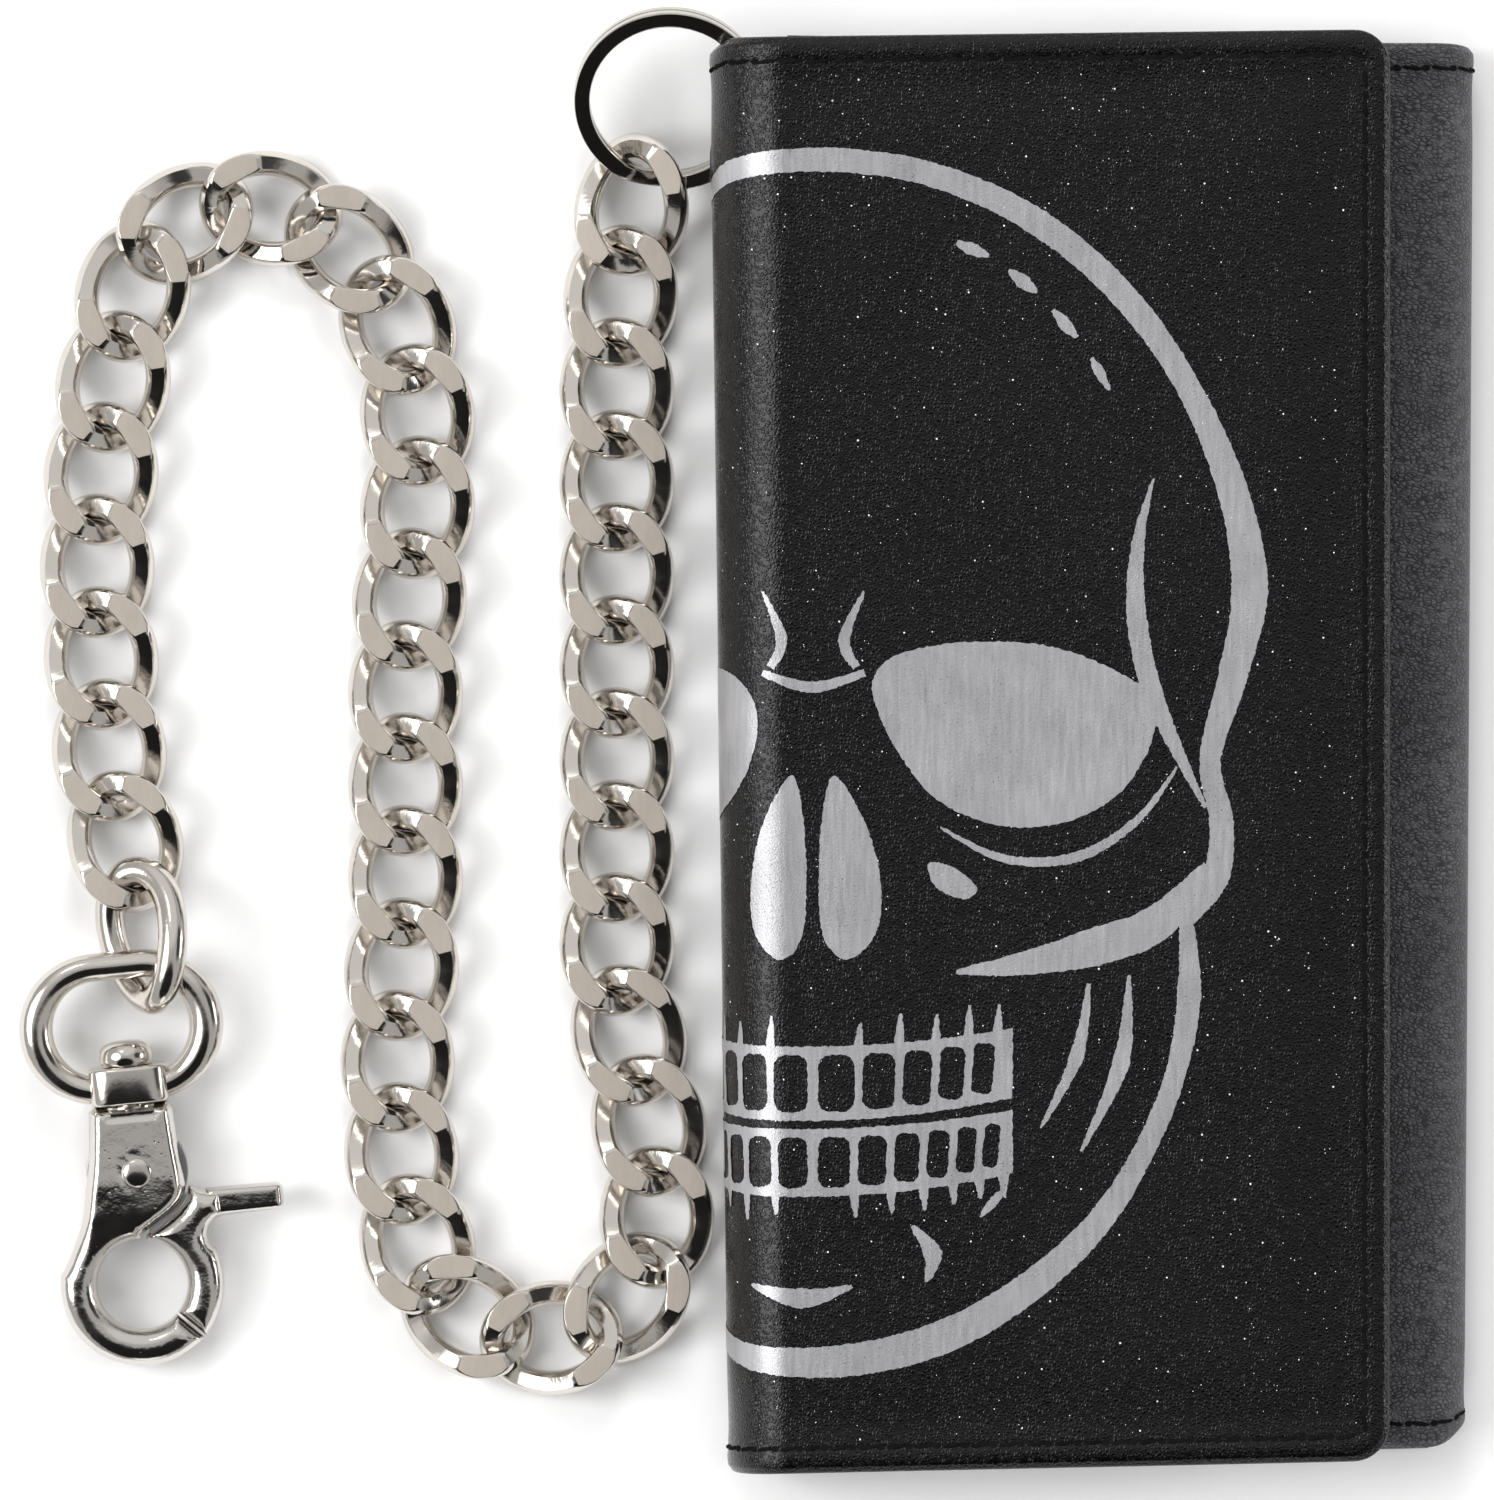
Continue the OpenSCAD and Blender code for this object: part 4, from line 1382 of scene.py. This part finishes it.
# Heights over the flats' level at which the loop is cut, and from which a face is ground
FLAT_CUTS = (-0.15, -0.05, 0.03, 0.12, 0.25)
FLAT_FROM = 0.11
PRESSED = math.sin(math.radians(60))  # of the wire's radius
RINGS = 72
SIDES = 24


def wire_loop(a, b, twist, r, swell=0.0, facet=1.0):
    """A closed loop of wire, twisted as a curb link is: points, faces. The wire swells towards the
    ends, and is pressed flat above and below at the given part of its radius."""
    verts = []
    for i in range(RINGS):
        t = 2 * math.pi * i / RINGS
        p = Vector((a * math.cos(t), b * math.sin(t), twist * math.sin(2 * t)))
        along = Vector((-a * math.sin(t), b * math.cos(t), 2 * twist * math.cos(2 * t)))
        along.normalize()
        side = along.cross(Vector((0, 0, 1))).normalized()
        up = side.cross(along)
        rr = r + swell * math.sin(t) ** 4
        for c, s in circle(SIDES):
            verts.append(p + rr * (c * side + min(max(s, -facet), facet) * up))
    return verts, tube_faces(RINGS, SIDES)


def grind(verts, faces, level):
    """Grinds a loop flat at +-level, with a slightly softened edge: points, faces, and which
    faces are ground."""
    bm = bmesh.new()
    points = [bm.verts.new(v) for v in verts]
    for f in faces:
        bm.faces.new([points[i] for i in f])
    for side in (1, -1):
        for cut in FLAT_CUTS:
            bmesh.ops.bisect_plane(bm, geom=bm.verts[:] + bm.edges[:] + bm.faces[:], dist=1e-5,
                                   plane_co=(0, 0, side * (level + cut)), plane_no=(0, 0, side))
    bm.verts.index_update()
    flat = [all(abs(v.co.z) > level + FLAT_FROM for v in f.verts) for f in bm.faces]
    out = []
    for v in bm.verts:
        e = abs(v.co.z) - level
        e = (e - math.sqrt(e * e + FLAT_EDGE ** 2)) / 2
        out.append(Vector((v.co.x, v.co.y, math.copysign(level + e, v.co.z))))
    shape = [tuple(v.index for v in f.verts) for f in bm.faces]
    bm.free()
    return out, shape, flat


def joint_at(name):
    for joint in frame["joints"]:
        if joint["name"] == name:
            return Vector(joint["pos_m"]) / MM
    raise KeyError(name)


WIRE_SWELL = 0.04
LINK_VERTS, LINK_FACES, LINK_FLATS = grind(
    *wire_loop(LINK_A, LINK_B, LINK_TWIST, WIRE_R, WIRE_SWELL, PRESSED), FLAT_H)
# Height, pitch and roll of the two links that climb onto a neighbour
POSES = {1: (3.9, 7, -10), 36: (3.7, 0, 0)}


def chain_link(k):
    """Curb link k, laid between its two joints."""
    a, b = joint_at("joint_%02d" % (k - 1)), joint_at("joint_%02d" % k)
    heading = math.atan2(b.y - a.y, b.x - a.x) + math.pi / 2
    z, pitch, roll = POSES.get(k, (LINK_Z, 0, 0))
    place = Matrix.Translation(Vector(((a.x + b.x) / 2, (a.y + b.y) / 2, z)))
    place = place @ Matrix.Rotation(heading, 4, "Z") @ turned(pitch, "X") @ turned(roll, "Y")
    obj = mesh_piece("curb_link_%02d" % k, [place @ v for v in LINK_VERTS], LINK_FACES,
                     [M_NICKEL, M_FLAT], face_mats=[int(f) for f in LINK_FLATS])
    sharpen(obj, 31)
    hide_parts("link_%02d" % k)
    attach(obj, "chain_%02d" % k)


for k in range(1, 37):
    chain_link(k)


def connector():
    """The plain twisted link between the chain and the clasp's eye."""
    lo, hi = panel_box("connector_link")
    verts, faces = wire_loop(5.1, 8.2, -0.7, 1.84)
    lie = turned(10, "Z") @ turned(-9.5, "X") @ turned(-40.5, "Y")
    place = Matrix.Translation((lo + hi) / 2) @ lie
    obj = mesh_piece("connector_wire", [place @ v for v in verts], faces, M_NICKEL)
    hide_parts("connector_link")
    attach(obj, "connector")


connector()

# ---------------------------------------------------------------- clasp

CLASP_LEAN = 5.6
CLASP_TILT = 3.2
HOOK_R = 5.65
HOOK_RO = 10.3
HOOK_C = (-0.8, -14.2)
GATE_TIP = -45
FACE_H = 3.0
RIM_H = 1.2
HOOK_H = 2.65
POST_R = 2.0
BOSS_Y = 10.97
BOSS_HALF = (4.95, 3.4)
BOSS_POWER = 0.62


def clasp_matrix():
    """The clasp's own frame: the rivet at its origin, Y up to the eye, Z out of its face."""
    pivot = joint_at("gate_pivot") * MM
    return Matrix.Translation(pivot) @ turned(CLASP_LEAN, "Z") @ turned(CLASP_TILT, "X")


CLASP = clasp_matrix()
BAR_POWER = 2.3


def rounded(d, width, height):
    """Height of a rounded bar's section at a distance d from its edge."""
    f = 1 - min(d, width) / width
    return height * (1 - f ** BAR_POWER) ** (1 / BAR_POWER)


def body_height(d, x, y):
    """The body: bevelled and flat by the rivet, running out into the rounded hook."""
    f = min(d / 1.35, 1)
    plate_h = RIM_H + (FACE_H - RIM_H) * math.sin(f * math.pi / 2) ** 0.85
    # The face slopes down towards the eye, with a groove across it and one round the rivet
    plate_h -= 0.075 * max(y + 1.0, 0)
    plate_h -= 0.4 * bell(y - 7.0, 0.26) * smoothstep((3.6 - abs(x)) / 0.8)
    plate_h -= 0.16 * bell(math.hypot(x, y) - 2.02, 0.14)
    blend = smoothstep((y + 9.5) / 5.0)
    return plate_h * blend + rounded(d, 2.3, HOOK_H) * (1 - blend)


def clasp_body():
    """The cast body with its hook, and the post that turns in the eye."""
    cx, cy = HOOK_C
    outline = [(-4.6, 8.5)]
    outline += curve([(-5.35, 7.9), (-5.6, 5), (-5.95, 1.9), (-6.6, -1.6), (-7.15, -4.4),
                      (-7.9, -6.7), (-9.3, -9.6), (-10.3, -11.4)])
    outline += arc(cx, cy, HOOK_RO, 168, 360 + GATE_TIP - 0.9, 60)
    outline += arc(cx, cy, HOOK_R, 360 + GATE_TIP - 1.5, 86, 64)
    outline += curve([(-0.3, -8.0), (1.9, -6.6), (4.1, -5.1), (5.45, -3.5), (5.85, -1.6),
                      (5.45, 3.2), (5.2, 7.7)])
    outline += [(4.6, 8.5)]
    main = relief("clasp_main", outline, body_height, M_CAST, CLASP)
    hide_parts("clasp_body")
    upright = CLASP @ turned(-90, "X")
    post = lathe("clasp_post", [(POST_R, 7.4), (POST_R, 13.6)], M_NICKEL, upright)
    head = [(2.4, 13.4), (3.1, 13.5), (3.3, 13.8), (3.35, 14.6), (3.2, 15.4), (2.75, 16.0),
            (1.9, 16.4), (0.9, 16.55), (0.2, 16.57)]
    button = lathe("clasp_button", head, M_NICKEL, upright)
    foot = [(2.6, 7.9), (3.3, 8.1), (3.3, 8.35), (POST_R, 8.45)]
    collar = lathe("clasp_collar", foot, M_NICKEL, upright)
    for p in (main, post, button, collar):
        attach(p, "clasp")


def gate_height(d, x, y):
    return rounded(d, 2.2, HOOK_H - 0.05)


def lever_height(d, x, y):
    return rounded(d, 0.9, 1.75)


def clasp_gate():
    """The gate's curved arm with its lever, and the tang it turns on."""
    cx, cy = HOOK_C
    outline = arc(cx, cy, HOOK_R, GATE_TIP + 1, 80, 40)
    outline += curve([(0.35, -8.0), (2.2, -6.9), (4.4, -5.35), (5.8, -3.7), (6.25, -2.4),
                      (7.3, -2.7), (8.6, -3.2)])
    outline += curve([(10.2, -3.4), (10.3, -6.3), (9.2, -6.9), (8.3, -7.8), (8.0, -9.0),
                      (8.5, -10.4)])
    outline += arc(cx, cy, HOOK_RO, 22, GATE_TIP + 0.6, 34)
    gate = relief("gate_arm", outline, gate_height, M_CAST, CLASP)
    lever = [(8.2, -2.9), (17.2, -3.0), *arc(17.1, -3.8, 0.8, 90, 0, 5),
             *arc(17.1, -5.7, 0.8, 0, -90, 5), (8.2, -6.6)]
    bar = relief("gate_lever", lever, lever_height, M_CAST, CLASP)
    # The tang is a disc round the rivet with a neck that runs into the arm
    disc = arc(0, 0, 8.2, -84, -30, 14) + arc(0, 0, 6.4, -30, 276, 40)
    hole = arc(0, 0, 1.65, 0, 360, 24)[:-1]
    tang = plate("gate_tang", [disc, hole], 1.1, 0.15, M_STEEL, CLASP, 2)
    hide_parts("clasp_trigger")
    for p in (gate, bar, tang):
        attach(p, "gate")


def clasp_rivet():
    """The rivet's two domed heads."""
    dome = [(1.88, 2.6), (1.88, 2.95), (1.78, 3.12), (1.4, 3.27), (0.8, 3.37), (0.1, 3.4)]
    heads = [lathe("rivet_" + label, dome, M_NICKEL, CLASP @ turned(flip, "X"), 36)
             for flip, label in ((0, "front"), (180, "back"))]
    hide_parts("clasp_rivet")
    for p in heads:
        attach(p, "clasp")


def swivel_eye():
    """A loop of round wire that swells into the boss the post turns in."""
    path = arc(2.7, 18.2, 7.75, -90, 90, 40) + arc(-3.2, 18.2, 7.75, 90, 270, 40)
    sides = 20
    verts = []
    for (x0, y0), (x, y), (x1, y1) in zip(path[-1:] + path[:-1], path, path[1:] + path[:1]):
        d = Vector((x1 - x0, y1 - y0, 0)).normalized()
        side = Vector((d.y, -d.x, 0))
        r = 1.75 + 0.38 * side.x ** 2
        for c, s in circle(sides):
            v = Vector((x, y, 0)) + r * (c * side + s * Vector((0, 0, 1)))
            verts.append((CLASP @ (v * MM)) / MM)
    loop = mesh_piece("eye_loop", verts, tube_faces(len(path), sides), M_NICKEL)
    outline = [(math.copysign(BOSS_HALF[0] * abs(c) ** BOSS_POWER, c),
                math.copysign(BOSS_HALF[1] * abs(s) ** BOSS_POWER, s))
               for c, s in arc(0, 0, 1, 0, 360, 64)[:-1]]
    turn = Matrix.Translation(Vector((0, BOSS_Y, 0)) * MM) @ turned(90, "X")
    collar = plate("eye_boss", [outline], 2.4, 0.55, M_NICKEL, CLASP @ turn, 4)
    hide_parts("swivel_eye")
    for p in (loop, collar):
        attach(p, "eye")


clasp_body()
clasp_gate()
clasp_rivet()
swivel_eye()

scene.view_settings.view_transform = "Standard"
